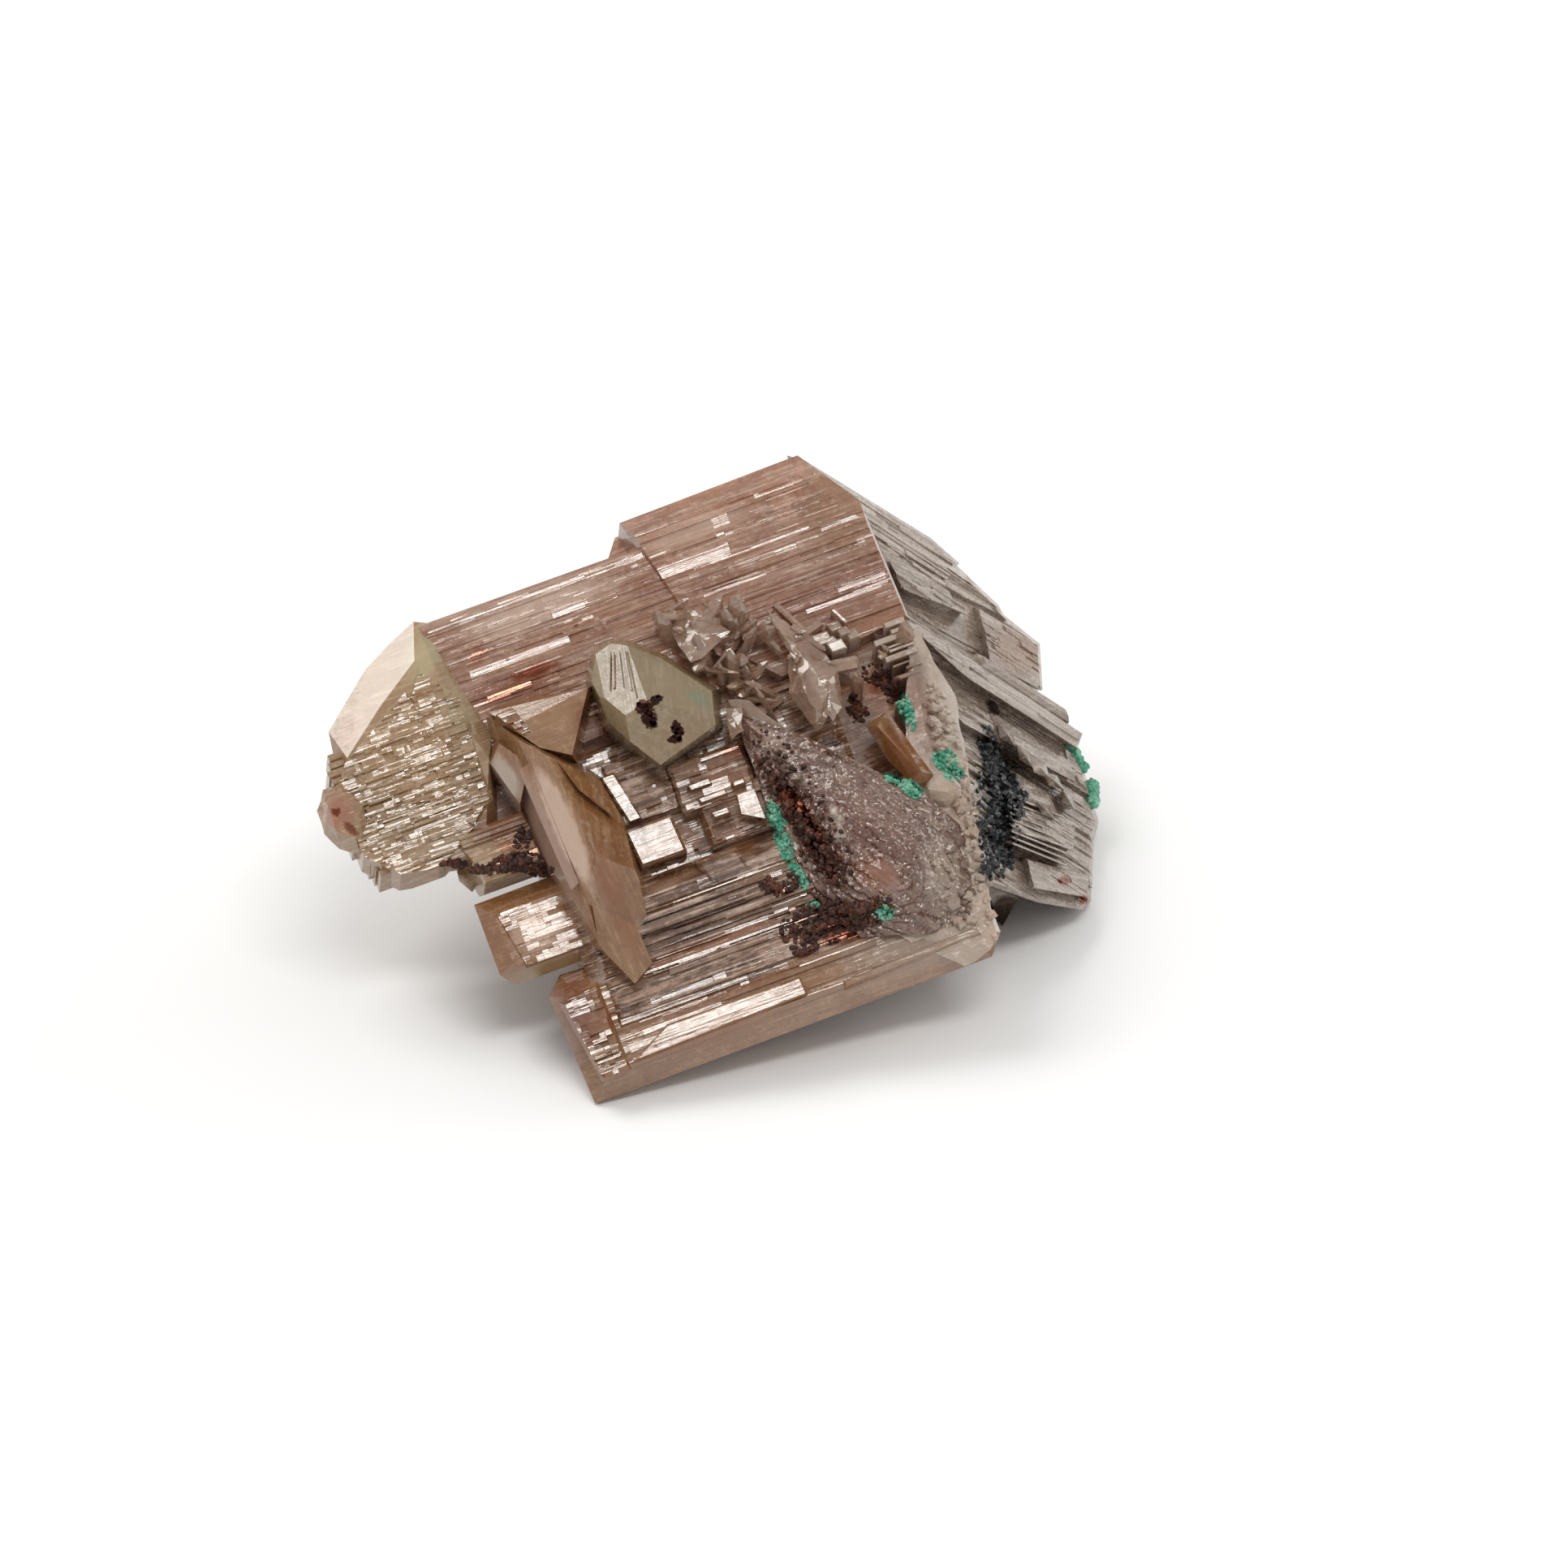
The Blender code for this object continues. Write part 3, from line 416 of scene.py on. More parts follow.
def fused(meshes):
    """One mesh joined from many, two by two."""
    meshes = list(meshes)
    while len(meshes) > 1:
        pairs = []
        for index in range(0, len(meshes) - 1, 2):
            pairs.append(combined(meshes[index], meshes[index + 1], "UNION"))
        if len(meshes) % 2:
            pairs.append(meshes[-1])
        meshes = pairs
    return meshes[0]


def finely_cut(mesh, size):
    """A shape from a closed mesh, with its faces cut until no edge is longer than a size in millimetres."""
    shape = bmesh.new()
    shape.from_mesh(mesh)
    bpy.data.meshes.remove(mesh)
    for turn in range(7):
        bmesh.ops.triangulate(shape, faces=shape.faces)
        longer = [edge for edge in shape.edges if edge.calc_length() > size * MM]
        if not longer:
            break
        bmesh.ops.subdivide_edges(shape, edges=longer, cuts=1)
    bmesh.ops.triangulate(shape, faces=shape.faces)
    return shape


def roughened(mesh, size, amount, seed, scale=1.5):
    """A closed mesh with its faces cut to a size and moved unevenly by an amount, both in millimetres."""
    shape = finely_cut(mesh, size)
    offset = Vector((seed * 3.1, seed * 1.7, seed * 2.3))
    for vertex in shape.verts:
        vertex.co += noise.noise_vector(vertex.co / MM * scale + offset) * amount * MM
    bmesh.ops.recalc_face_normals(shape, faces=shape.faces)
    return shape_mesh(shape)


def striated(corners, lift, thick, rim, rim_drop, seed, look, back_rim=0.0, bright=(), tip=0.0):
    """A plate of the main individual whose front carries striations."""
    spread = random.Random(seed)
    p_values = [corner[0] for corner in corners]
    q_values = [corner[1] for corner in corners]
    along = lattice(spread, min(p_values) - 0.5, max(p_values) + 0.5, *look["cells"])
    across = lattice(spread, min(q_values) - 0.5, max(q_values) + 0.5, *look["widths"])
    steps = Steps(seed, along, across, look, bright)
    slope = math.tan(math.radians(tip))
    centre = sum(q_values) / len(q_values)
    above = look["heights"][1] + look["drift"]

    def place(p, q, height):
        return along_striations(p, q, lift + slope * (q - centre) + height)

    carpet = relief(place, along, across, steps, thick + 2.0)
    body = tablet(corners, lift + above, thick + above, rim, rim_drop + above, back_rim, tip)
    return combined(as_mesh(carpet), as_mesh(body), "INTERSECT")


def striated_wing(corners, out, thick, rim, drop, seed, look, bright=()):
    """A plate of the wing whose face carries striations."""
    spread = random.Random(seed)
    shared = ALONG_WING.dot(DOWN_FACE)
    alongs = []
    downs = []
    for u, v in corners:
        edge = on_wing_face(u, v, out) - RIDGE_TOP
        for offset in (edge, edge + BEHIND_WING * thick):
            alongs.append((offset.dot(ALONG_WING) - shared * offset.dot(DOWN_FACE)) / (1 - shared * shared))
            downs.append((offset.dot(DOWN_FACE) - shared * offset.dot(ALONG_WING)) / (1 - shared * shared))
    along = lattice(spread, min(alongs) - 0.8, max(alongs) + 0.8, *look["cells"])
    down = lattice(spread, min(downs) - 0.8, max(downs) + 0.8, *look["widths"])
    steps = Steps(seed, along, down, look, bright)
    above = look["heights"][1] + look["drift"]

    def place(a, b, height):
        return on_wing(a, b, out + height)

    carpet = relief(place, along, down, steps, thick + 4.0)
    body = wing_tablet(corners, out + above, thick + above, rim, drop + above)
    return combined(as_mesh(carpet), as_mesh(body), "INTERSECT")


def look_of(cells, widths, heights, run, band, tips, drift, flash, fine):
    """How a relief looks, in the terms that Steps names."""
    return {
        "cells": cells,
        "widths": widths,
        "heights": heights,
        "run": run,
        "band": band,
        "tips": tips,
        "drift": drift,
        "flash": flash,
        "fine": fine,
    }


SILKY = look_of((0.2, 0.5), (0.05, 0.15), (-0.06, 0.04), 18.0, 2.0, (-8.0, 5.0), 0.03, 0.03, (0.012, 4.0, 7.0))
BOLD = look_of((0.2, 0.5), (0.05, 0.15), (-0.17, 0.12), 18.0, 2.4, (-22.0, 5.0), 0.08, 0.05, (0.012, 2.0, 7.0))
DASHED = look_of((0.12, 0.36), (0.06, 0.15), (-0.11, 0.09), 2.5, 0.8, (-9.0, 6.0), 0.05, 0.12, (0.03, 6.0, 2.0))
BLOCKY = look_of((0.2, 0.5), (0.12, 0.34), (-0.16, 0.12), 2.0, 0.8, (-9.0, 6.0), 0.06, 0.04, (0.02, 3.0, 2.0))
PLATY = look_of((0.3, 0.8), (0.07, 0.24), (-0.13, 0.10), 8.0, 1.0, (-14.0, 9.0), 0.05, 0.06, (0.02, 6.0, 4.0))
CALM = look_of((0.3, 0.8), (0.08, 0.24), (-0.08, 0.06), 5.0, 1.0, (-9.0, 6.0), 0.02, 0.04, (0.012, 4.0, 4.0))
CURVED = look_of((3.0, 7.0), (0.07, 0.2), (-0.17, -0.02), 9.0, 1.2, (-20.0, 20.0), 0.0, 0.0, (0.01, 6.0, 4.0))
SMOOTH = look_of((0.3, 0.9), (0.08, 0.25), (-0.01, 0.008), 3.0, 0.8, (-1.5, 1.5), 0.004, 0.0, (0.004, 1.5, 2.0))


class Wire:
    """A value between shader nodes, so that shader sums read as arithmetic."""

    def __init__(self, paint, socket):
        self.paint = paint
        self.socket = socket

    def math(self, operation, first, second=None):
        """A Math node over one or two values."""
        made = self.paint.node("ShaderNodeMath", {"operation": operation})
        self.paint.feed(made.inputs[0], first)
        if second is not None:
            self.paint.feed(made.inputs[1], second)
        return self.paint.wire(made)

    def __add__(self, other):
        return self.math("ADD", self, other)

    def __radd__(self, other):
        return self.math("ADD", other, self)

    def __sub__(self, other):
        return self.math("SUBTRACT", self, other)

    def __rsub__(self, other):
        return self.math("SUBTRACT", other, self)

    def __mul__(self, other):
        return self.math("MULTIPLY", self, other)

    def __rmul__(self, other):
        return self.math("MULTIPLY", other, self)

    def __truediv__(self, other):
        return self.math("DIVIDE", self, other)

    def __rtruediv__(self, other):
        return self.math("DIVIDE", other, self)

    def size(self):
        """The value without its sign."""
        return self.math("ABSOLUTE", self)

    def root(self):
        """The square root."""
        return self.math("SQRT", self)

    def rise(self, start, end):
        """A smooth climb from 0 to 1 between two values."""
        made = self.paint.node(
            "ShaderNodeMapRange",
            {"interpolation_type": "SMOOTHSTEP", "clamp": True},
            {"Value": self, "From Min": start, "From Max": end, "To Min": 0.0, "To Max": 1.0},
        )
        return self.paint.wire(made)

    def vector_math(self, operation, other):
        """A Vector Math node over this vector and another."""
        made = self.paint.node("ShaderNodeVectorMath", {"operation": operation})
        self.paint.feed(made.inputs[0], self)
        self.paint.feed(made.inputs[1], other)
        return made

    def dot(self, direction):
        """The share of a vector along a fixed direction."""
        return self.paint.wire(self.vector_math("DOT_PRODUCT", tuple(direction)), "Value")


class Paint:
    """A shader tree, with the place of each point on the front drawing worked out in it."""

    def __init__(self, name):
        self.material = bpy.data.materials.new(name)
        self.material.use_nodes = True
        self.tree = self.material.node_tree
        self.shader = self.tree.nodes["Principled BSDF"]
        self.output = self.tree.nodes["Material Output"]

    def node(self, kind, settings=None, inputs=None):
        """A node of a kind, its settings set first and its inputs after."""
        made = self.tree.nodes.new(kind)
        for key, value in (settings or {}).items():
            setattr(made, key, value)
        for key, value in (inputs or {}).items():
            self.feed(made.inputs[key], value)
        return made

    def feed(self, socket, value):
        """Sets a socket to a plain value, or links it."""
        if isinstance(value, Wire):
            self.tree.links.new(value.socket, socket)
        else:
            socket.default_value = value

    def wire(self, node, output=0):
        """A node's output as a value to go on with."""
        return Wire(self, node.outputs[output])

    def place(self):
        """Where a point is, in millimetres about the drawing's centre, and its u, v, p, q and lift."""
        own = self.wire(self.node("ShaderNodeTexCoord"), "Object")
        larger = self.wire(own.vector_math("MULTIPLY", (1 / MM, 1 / MM, 1 / MM)))
        self.true = self.wire(larger.vector_math("ADD", tuple(CENTRE)))
        columns = FROM_DRAWING.transposed()
        near = self.true.dot(columns[2])
        spread = EYE_DISTANCE / (EYE_DISTANCE - near)
        self.u = self.true.dot(columns[0]) * spread
        self.v = self.true.dot(columns[1]) * spread
        turn = math.radians(STRIATION_RISE)
        self.p = self.u * math.cos(turn) + self.v * math.sin(turn)
        self.q = self.v * math.cos(turn) - self.u * math.sin(turn)
        face = self.u * FACE_ALONG_U + self.v * FACE_ALONG_V + FACE_NEAR
        self.lift = near * spread - face
        self.ragged = self.noise(self.true, 1.1, 3.0, 0.65)
        self.finely_ragged = self.noise(self.true, 3.6, 3.0, 0.7)

    def vector(self, x, y, z):
        """A vector from three values."""
        return self.wire(self.node("ShaderNodeCombineXYZ", None, {"X": x, "Y": y, "Z": z}))

    def noise(self, place, scale, detail=2.0, roughness=0.5):
        """A noise value between 0 and 1."""
        made = self.node(
            "ShaderNodeTexNoise",
            {"noise_dimensions": "3D"},
            {"Vector": place, "Scale": scale, "Detail": detail, "Roughness": roughness},
        )
        return self.wire(made, "Fac")

    def grains(self, place, scale):
        """The distance to the nearest of scattered points."""
        made = self.node("ShaderNodeTexVoronoi", {"feature": "F1"}, {"Vector": place, "Scale": scale})
        return self.wire(made, "Distance")

    def blend(self, first, second, factor):
        """A colour between two others."""
        made = self.node("ShaderNodeMix", {"data_type": "RGBA", "clamp_factor": True})
        self.feed(made.inputs[0], factor)
        self.feed(made.inputs[6], first)
        self.feed(made.inputs[7], second)
        return self.wire(made, 2)

    def spot(self, u, v, long, wide, turn=0.0, soft=0.5, ragged=0.5):
        """1 inside an oval patch of the drawing, falling to 0 at its uneven edge."""
        angle = math.radians(turn)
        right = self.u - u
        up = self.v - v
        x = (right * math.cos(angle) + up * math.sin(angle)) / long
        y = (up * math.cos(angle) - right * math.sin(angle)) / wide
        edge = self.finely_ragged if max(long, wide) < 1.0 else self.ragged
        away = (x * x + y * y).root() + (edge - 0.5) * (ragged * (3.0 if max(long, wide) < 1.0 else 1.0))
        return 1.0 - away.rise(1.0 - soft, 1.0)

    def stripe(self, p_from, p_to, q, width):
        """1 on a thin line along the striations, with broken stretches."""
        across = 1.0 - (self.q - q).size().rise(0.3 * width, 0.5 * width)
        ends = self.p.rise(p_from, p_from + 0.3) * (1.0 - self.p.rise(p_to - 0.3, p_to))
        broken = self.noise(self.vector(self.p * 0.8, q, 0.0), 1.0, 2.0, 0.5)
        return across * ends * broken.rise(0.32, 0.45)

    def finish(self, colour, roughness, height, strength, reach):
        """Feeds colour, roughness and a bump of a reach in millimetres."""
        self.feed(self.shader.inputs["Base Color"], colour)
        self.feed(self.shader.inputs["Roughness"], roughness)
        bump = self.node("ShaderNodeBump", None, {"Strength": strength, "Distance": reach * MM, "Height": height})
        self.feed(self.shader.inputs["Normal"], self.wire(bump))
        return self.material


def tone(name):
    """A colour from the settings."""
    return (*getattr(bpy.context.scene.mineral_tones, name), 1.0)


# Tones of stains that cover the glassy faces; the rust stain and dark rust tones also lay painted shade in places
OPAQUE_TONES = ("rust_dark_and_shade", "rust_stain_and_shade", "ore")


def cerussite(name, axes, tones, clear=0.45, rough=0.06, streak=1.0, dark=1.0, frost=0.0, spots=(), stripes=()):
    """Translucent cerussite with growth lines along the first axis, whose pale streaks are partly painted highlights
    for the glints of the striation steps.

    tones names its body, pale, deep and inner colours. spots are (tone, strength, u, v, long, wide, turn, soft) and
    stripes are (tone, strength, p from, p to, q, width).
    """
    paint = Paint(name)
    paint.place()
    body, pale, deep, inside = (tone(part) for part in tones)
    if axes is MAIN_AXES:
        along, across, out = paint.p, paint.q, paint.lift
    else:
        along, across, out = (paint.true.dot(FROM_DRAWING @ axis) for axis in axes)
    bands = paint.noise(paint.vector(along * 0.10, across * 1.3, out * 0.3), 1.0, 2.0, 0.5)
    fine = paint.noise(paint.vector(along * 0.28, across * 6.5, out * 0.5), 1.0, 2.0, 0.6)
    dashes = paint.noise(paint.vector(along * 0.9, across * 2.6, out * 0.8), 1.0, 2.0, 0.6)
    grooves = paint.noise(paint.vector(along * 0.16, across * 4.6, out * 0.4 + 7.0), 1.0, 2.0, 0.5)
    cloud = paint.noise(paint.true, 0.30, 3.0, 0.6)
    mottle = paint.noise(paint.true, 2.6, 3.0, 0.7)
    specks = paint.noise(paint.true, 5.5, 1.0, 0.5)
    # Pale streaks along the striations: partly growth lines, partly painted highlights for the glints of the striation
    # steps
    lines = bands.rise(0.45, 0.66) * 0.35 + fine.rise(0.52, 0.60) * dashes.rise(0.36, 0.52) * 0.6
    colour = paint.blend(body, pale, lines * streak)
    colour = paint.blend(colour, deep, cloud.rise(0.44, 0.70) * 0.45)
    colour = paint.blend(colour, deep, grooves.rise(0.55, 0.61) * dashes.rise(0.62, 0.46) * 0.85 * dark)
    colour = paint.blend(colour, pale, mottle.rise(0.56, 0.66) * 0.25)
    colour = paint.blend(colour, deep, mottle.rise(0.42, 0.34) * 0.35)
    colour = paint.blend(colour, deep, specks.rise(0.68, 0.73) * 0.6)
    stain_and_shade_cover = None
    for spot_tone, strength, u, v, long, wide, turn, soft in spots:
        cover = paint.spot(u, v, long, wide, turn, soft) * strength
        colour = paint.blend(colour, tone(spot_tone), cover)
        if spot_tone in OPAQUE_TONES:
            stain_and_shade_cover = cover if stain_and_shade_cover is None else stain_and_shade_cover + cover
    if stain_and_shade_cover is not None:
        paint.feed(paint.shader.inputs["Metallic"], stain_and_shade_cover.math("MINIMUM", stain_and_shade_cover, 0.9))
    for stripe_tone, strength, p_from, p_to, q, width in stripes:
        colour = paint.blend(colour, tone(stripe_tone), paint.stripe(p_from, p_to, q, width) * strength)
    paint.shader.inputs["IOR"].default_value = bpy.context.scene.mineral_looks.bending
    paint.shader.inputs["Transmission Weight"].default_value = clear
    depth = bpy.context.scene.mineral_looks.absorption
    volume = paint.node("ShaderNodeVolumeAbsorption", None, {"Color": inside, "Density": depth})
    paint.tree.links.new(volume.outputs[0], paint.output.inputs["Volume"])
    height = fine * 0.6 + bands * 0.3 + mottle * (0.35 + frost)
    gloss = mottle.rise(0.40, 0.62) * (0.16 + 0.2 * frost) + rough
    return paint.finish(colour, gloss, height, 0.45 + 0.3 * frost, 0.05)


def malachite_paint():
    """Green, with paler patches and darker fine flecks."""
    paint = Paint("malachite")
    paint.place()
    patches = paint.noise(paint.true, 1.6, 3.0, 0.6)
    fine = paint.noise(paint.true, 7.0, 2.0, 0.6)
    colour = paint.blend(tone("malachite"), tone("malachite_pale"), patches.rise(0.42, 0.66))
    colour = paint.blend(colour, tone("malachite_dark"), fine.rise(0.52, 0.70) * 0.8)
    return paint.finish(colour, fine * 0.3 + 0.3, fine, 0.5, 0.06)


def oxide_paint():
    """Dark red-brown, nearly black in places, with a few olive grains."""
    paint = Paint("iron_oxide")
    paint.place()
    patches = paint.noise(paint.true, 1.8, 3.0, 0.6)
    fine = paint.noise(paint.true, 4.0, 3.0, 0.6)
    colour = paint.blend(tone("rust_dark_and_shade"), tone("rust"), patches.rise(0.46, 0.7))
    colour = paint.blend(colour, tone("olive_dust"), fine.rise(0.60, 0.72) * 0.45)
    return paint.finish(colour, fine * 0.4 + 0.45, fine, 0.3, 0.05)


def ore_paint():
    """Sparkling black ore with grey grains."""
    paint = Paint("black_ore")
    paint.place()
    patches = paint.noise(paint.true, 2.4, 3.0, 0.65)
    fine = paint.noise(paint.true, 9.0, 2.0, 0.6)
    colour = paint.blend(tone("ore"), tone("ore_pale"), patches.rise(0.50, 0.64))
    paint.feed(paint.shader.inputs["Metallic"], patches.rise(0.4, 0.6) * 0.5)
    return paint.finish(colour, fine * 0.35 + 0.12, fine, 0.5, 0.06)


def colour_setting(name, description, default):
    """A colour property with linear values."""
    return bpy.props.FloatVectorProperty(
        name=name, description=description, default=default, subtype="COLOR", min=0.0, max=1.0, size=3
    )


class MineralTones(bpy.types.PropertyGroup):
    """The colours of the minerals."""

    pink: colour_setting("Pink", "Body of the main crystal", (0.45, 0.21, 0.115))
    # Pale pink: also used for painted highlights on the upper left edge, the slab's bright bar and the small block's
    # bright face
    pink_pale: colour_setting("Pale pink", "Its pale growth lines", (0.88, 0.65, 0.52))
    pink_deep: colour_setting("Deep pink", "Its grooves and clouds", (0.24, 0.06, 0.03))
    pink_inside: colour_setting("Pink inside", "What its inside lets through", (0.84, 0.46, 0.28))
    honey: colour_setting("Honey", "Body of the left knob", (0.42, 0.26, 0.13))
    honey_pale: colour_setting("Pale honey", "Pale lines on the knob", (0.84, 0.66, 0.48))
    honey_deep: colour_setting("Deep honey", "Clouds in the knob", (0.40, 0.22, 0.09))
    honey_inside: colour_setting("Honey inside", "What the knob lets through", (0.88, 0.68, 0.44))
    lime: colour_setting("Lime", "Greenish tip of the knob", (0.60, 0.53, 0.31))
    amber: colour_setting("Amber", "Body of the blade and the slab", (0.38, 0.18, 0.07))
    amber_pale: colour_setting("Pale amber", "Pale lines on them", (0.72, 0.47, 0.29))
    # Deep amber: also used for painted shade on the prism's left facets
    amber_deep: colour_setting("Deep amber", "Clouds in them", (0.24, 0.085, 0.03))
    amber_inside: colour_setting("Amber inside", "What they let through", (0.84, 0.46, 0.20))
    panel: colour_setting("Panel", "Body of the stepped panel", (0.29, 0.14, 0.068))
    # Deep panel: the panel's own darker tone, also used for painted shade in the gaps between crystals and in the
    # grooves between steps
    panel_deep_and_shade: colour_setting("Deep panel", "Grooves between its steps", (0.09, 0.028, 0.012))
    ash: colour_setting("Ash", "Body of the wing", (0.42, 0.325, 0.26))
    ash_pale: colour_setting("Pale ash", "Pale lines on the wing", (0.80, 0.71, 0.63))
    ash_deep: colour_setting("Deep ash", "Grooves on the wing", (0.22, 0.14, 0.11))
    ash_inside: colour_setting("Ash inside", "What the wing lets through", (0.82, 0.70, 0.64))
    ice: colour_setting("Ice", "Body of the small clear crystals", (0.68, 0.46, 0.33))
    # Pale ice: also a painted highlight on the small flashing squares among the clear crystals
    ice_pale: colour_setting("Pale ice", "Their bright places and the frosting", (0.84, 0.72, 0.62))
    ice_deep: colour_setting("Deep ice", "Their dark places", (0.34, 0.17, 0.10))
    ice_inside: colour_setting("Ice inside", "What they let through", (0.90, 0.80, 0.72))
    frost: colour_setting("Frost", "Body of the frosted margin", (0.60, 0.475, 0.38))
    olive: colour_setting("Olive", "Body of the yellow-green prism", (0.34, 0.25, 0.13))
    olive_pale: colour_setting("Pale olive", "Its pale lines and lower face", (0.48, 0.36, 0.22))
    olive_deep: colour_setting("Deep olive", "Its clouds", (0.30, 0.20, 0.09))
    olive_inside: colour_setting("Olive inside", "What it lets through", (0.84, 0.76, 0.50))
    lilac: colour_setting("Lilac", "Greyish violet faces of the blade and the slab", (0.50, 0.33, 0.265))
    plum: colour_setting("Plum", "Body of the front wedge", (0.21, 0.095, 0.06))
    plum_pale: colour_setting("Pale plum", "Its pale ridges", (0.60, 0.40, 0.31))
    rose: colour_setting("Rose", "Pink glassy places", (0.52, 0.17, 0.10))
    # Brown: partly the crystals' own orange-brown, partly a painted glow of light passing through their glassy parts
    brown: colour_setting("Brown", "Orange-brown clear places", (0.38, 0.13, 0.035))
    # Rust stain: also used for painted shade on the triangle's dark right facet and in the gap between the prism and
    # the blade
    rust_stain_and_shade: colour_setting("Rust stain", "Red-brown stain in the crystals", (0.20, 0.045, 0.02))
    rust: colour_setting("Rust", "Iron oxide in the light", (0.13, 0.035, 0.015))
    # Dark rust: also used for painted shade on the right foot in the shadow behind the slab
    rust_dark_and_shade: colour_setting("Dark rust", "Iron oxide", (0.030, 0.007, 0.004))
    olive_dust: colour_setting("Olive dust", "Greenish grains on the iron oxide", (0.11, 0.12, 0.05))
    malachite: colour_setting("Malachite", "Body of the malachite", (0.07, 0.33, 0.22))
    malachite_pale: colour_setting("Pale malachite", "Its bright grains", (0.22, 0.52, 0.38))
    malachite_dark: colour_setting("Dark malachite", "The places between its grains", (0.005, 0.08, 0.055))
    ore: colour_setting("Ore", "Black ore", (0.012, 0.014, 0.017))
    ore_pale: colour_setting("Pale ore", "Its grey grains", (0.14, 0.15, 0.165))
    floor: colour_setting("Floor", "The studio's pale floor", (0.90, 0.925, 0.955))


class MineralLooks(bpy.types.PropertyGroup):
    """How the crystals and the studio behave."""

    bending: bpy.props.FloatProperty(
        name="Refractive index", description="How strongly the crystals bend light", default=1.95, min=1.0, max=3.0
    )
    absorption: bpy.props.FloatProperty(
        name="Absorption", description="How quickly light fades inside, per metre", default=110.0, min=0.0
    )
    malachite_grain: bpy.props.FloatProperty(
        name="Malachite grain", description="Largest radius of a malachite grain", default=0.00016, unit="LENGTH"
    )
    oxide_grain: bpy.props.FloatProperty(
        name="Oxide grain", description="Largest radius of an iron oxide grain", default=0.00019, unit="LENGTH"
    )
    ore_grain: bpy.props.FloatProperty(
        name="Ore grain", description="Largest radius of a grain of black ore", default=0.00022, unit="LENGTH"
    )
    sky: bpy.props.FloatProperty(name="Sky", description="Strength of the even light from all sides", default=0.60)
    key: bpy.props.FloatProperty(name="Key light", description="Radiance of the large soft box", default=4.2)
    flash: bpy.props.FloatProperty(name="Strip light", description="Radiance of the strip box", default=9.0)
    fill: bpy.props.FloatProperty(name="Fill light", description="Radiance of the box on the right", default=2.2)


GROWN = []


def piece(name, mesh, material, slot_name, *nodes):
    """A finished piece: named, painted, carried by the root body and standing for its solids."""
    mesh.materials.clear()
    mesh.name = name
    made = bpy.data.objects.new(name, mesh)
    bpy.context.scene.collection.objects.link(made)
    mesh.materials.append(material)
    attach(made, "root")
    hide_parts(*nodes)
    return made


def grounded(mesh):
    """A closed mesh without what would reach below the floor."""
    shape = bmesh.new()
    shape.from_mesh(mesh)
    if min(vertex.co.z for vertex in shape.verts) < 0.0:
        geometry = shape.verts[:] + shape.edges[:] + shape.faces[:]
        bmesh.ops.bisect_plane(shape, geom=geometry, plane_co=(0, 0, 0), plane_no=(0, 0, -1), clear_outer=True)
        rims = [edge for edge in shape.edges if edge.is_boundary]
        bmesh.ops.holes_fill(shape, edges=rims)
        bmesh.ops.recalc_face_normals(shape, faces=shape.faces)
        shape.to_mesh(mesh)
    shape.free()
    return mesh


def crystal_piece(name, meshes, material):
    """A piece of the crystal group, fused from its parts."""
    made = piece(name, grounded(fused(meshes)), material, "cerussite", CRYSTALS)
    GROWN.append(made)
    low = [round(min(vertex.co[axis] for vertex in made.data.vertices) / MM, 2) for axis in range(3)]
    high = [round(max(vertex.co[axis] for vertex in made.data.vertices) / MM, 2) for axis in range(3)]
    print("PIECE", name, len(made.data.polygons), is_closed(made.data), low, high)


def flat(corners, lift, thick, rim=0.2, rim_drop=0.25, tip=0.0):
    """A plain plate of the main individual."""
    return as_mesh(tablet(corners, lift, thick, rim, rim_drop, 0.0, tip))


def box(p_from, p_to, q_from, q_to, slant=0.0):
    """Corners of a plate along the striations; slant moves its lower side further along."""
    return ((p_from, q_to), (p_to, q_to), (p_to + slant, q_from), (p_from + slant, q_from))


def seen_on(tree, u, v):
    """The place, in metres, and the outward direction of what the eye meets at a drawn (u, v)."""
    eye = (FROM_DRAWING @ Vector((0, 0, EYE_DISTANCE)) - CENTRE) * MM
    aim = (FROM_DRAWING @ Vector((u, v, 0)) - CENTRE) * MM
    place, normal, index, distance = tree.ray_cast(eye, (aim - eye).normalized())
    if place is None:
        return None, None
    if normal.dot(eye - place) < 0:
        normal = -normal
    return place, normal


def mesh_tree(mesh):
    """A search tree over one mesh."""
    return BVHTree.FromPolygons([vertex.co for vertex in mesh.vertices], [face.vertices for face in mesh.polygons])


def draped(mesh, where):
    """A relief's place function that lays (along, across) from where() on the front of a mesh."""
    tree = mesh_tree(mesh)

    def place(a, b, height):
        u, v = where(a, b)
        met, normal = seen_on(tree, u, v)
        if met is None:
            return on_face(u, v, height - 1.0)
        drawn = FROM_DRAWING.transposed() @ (met / MM + CENTRE)
        return Vector((u, v, drawn.z * EYE_DISTANCE / (EYE_DISTANCE - drawn.z) + height))

    return place


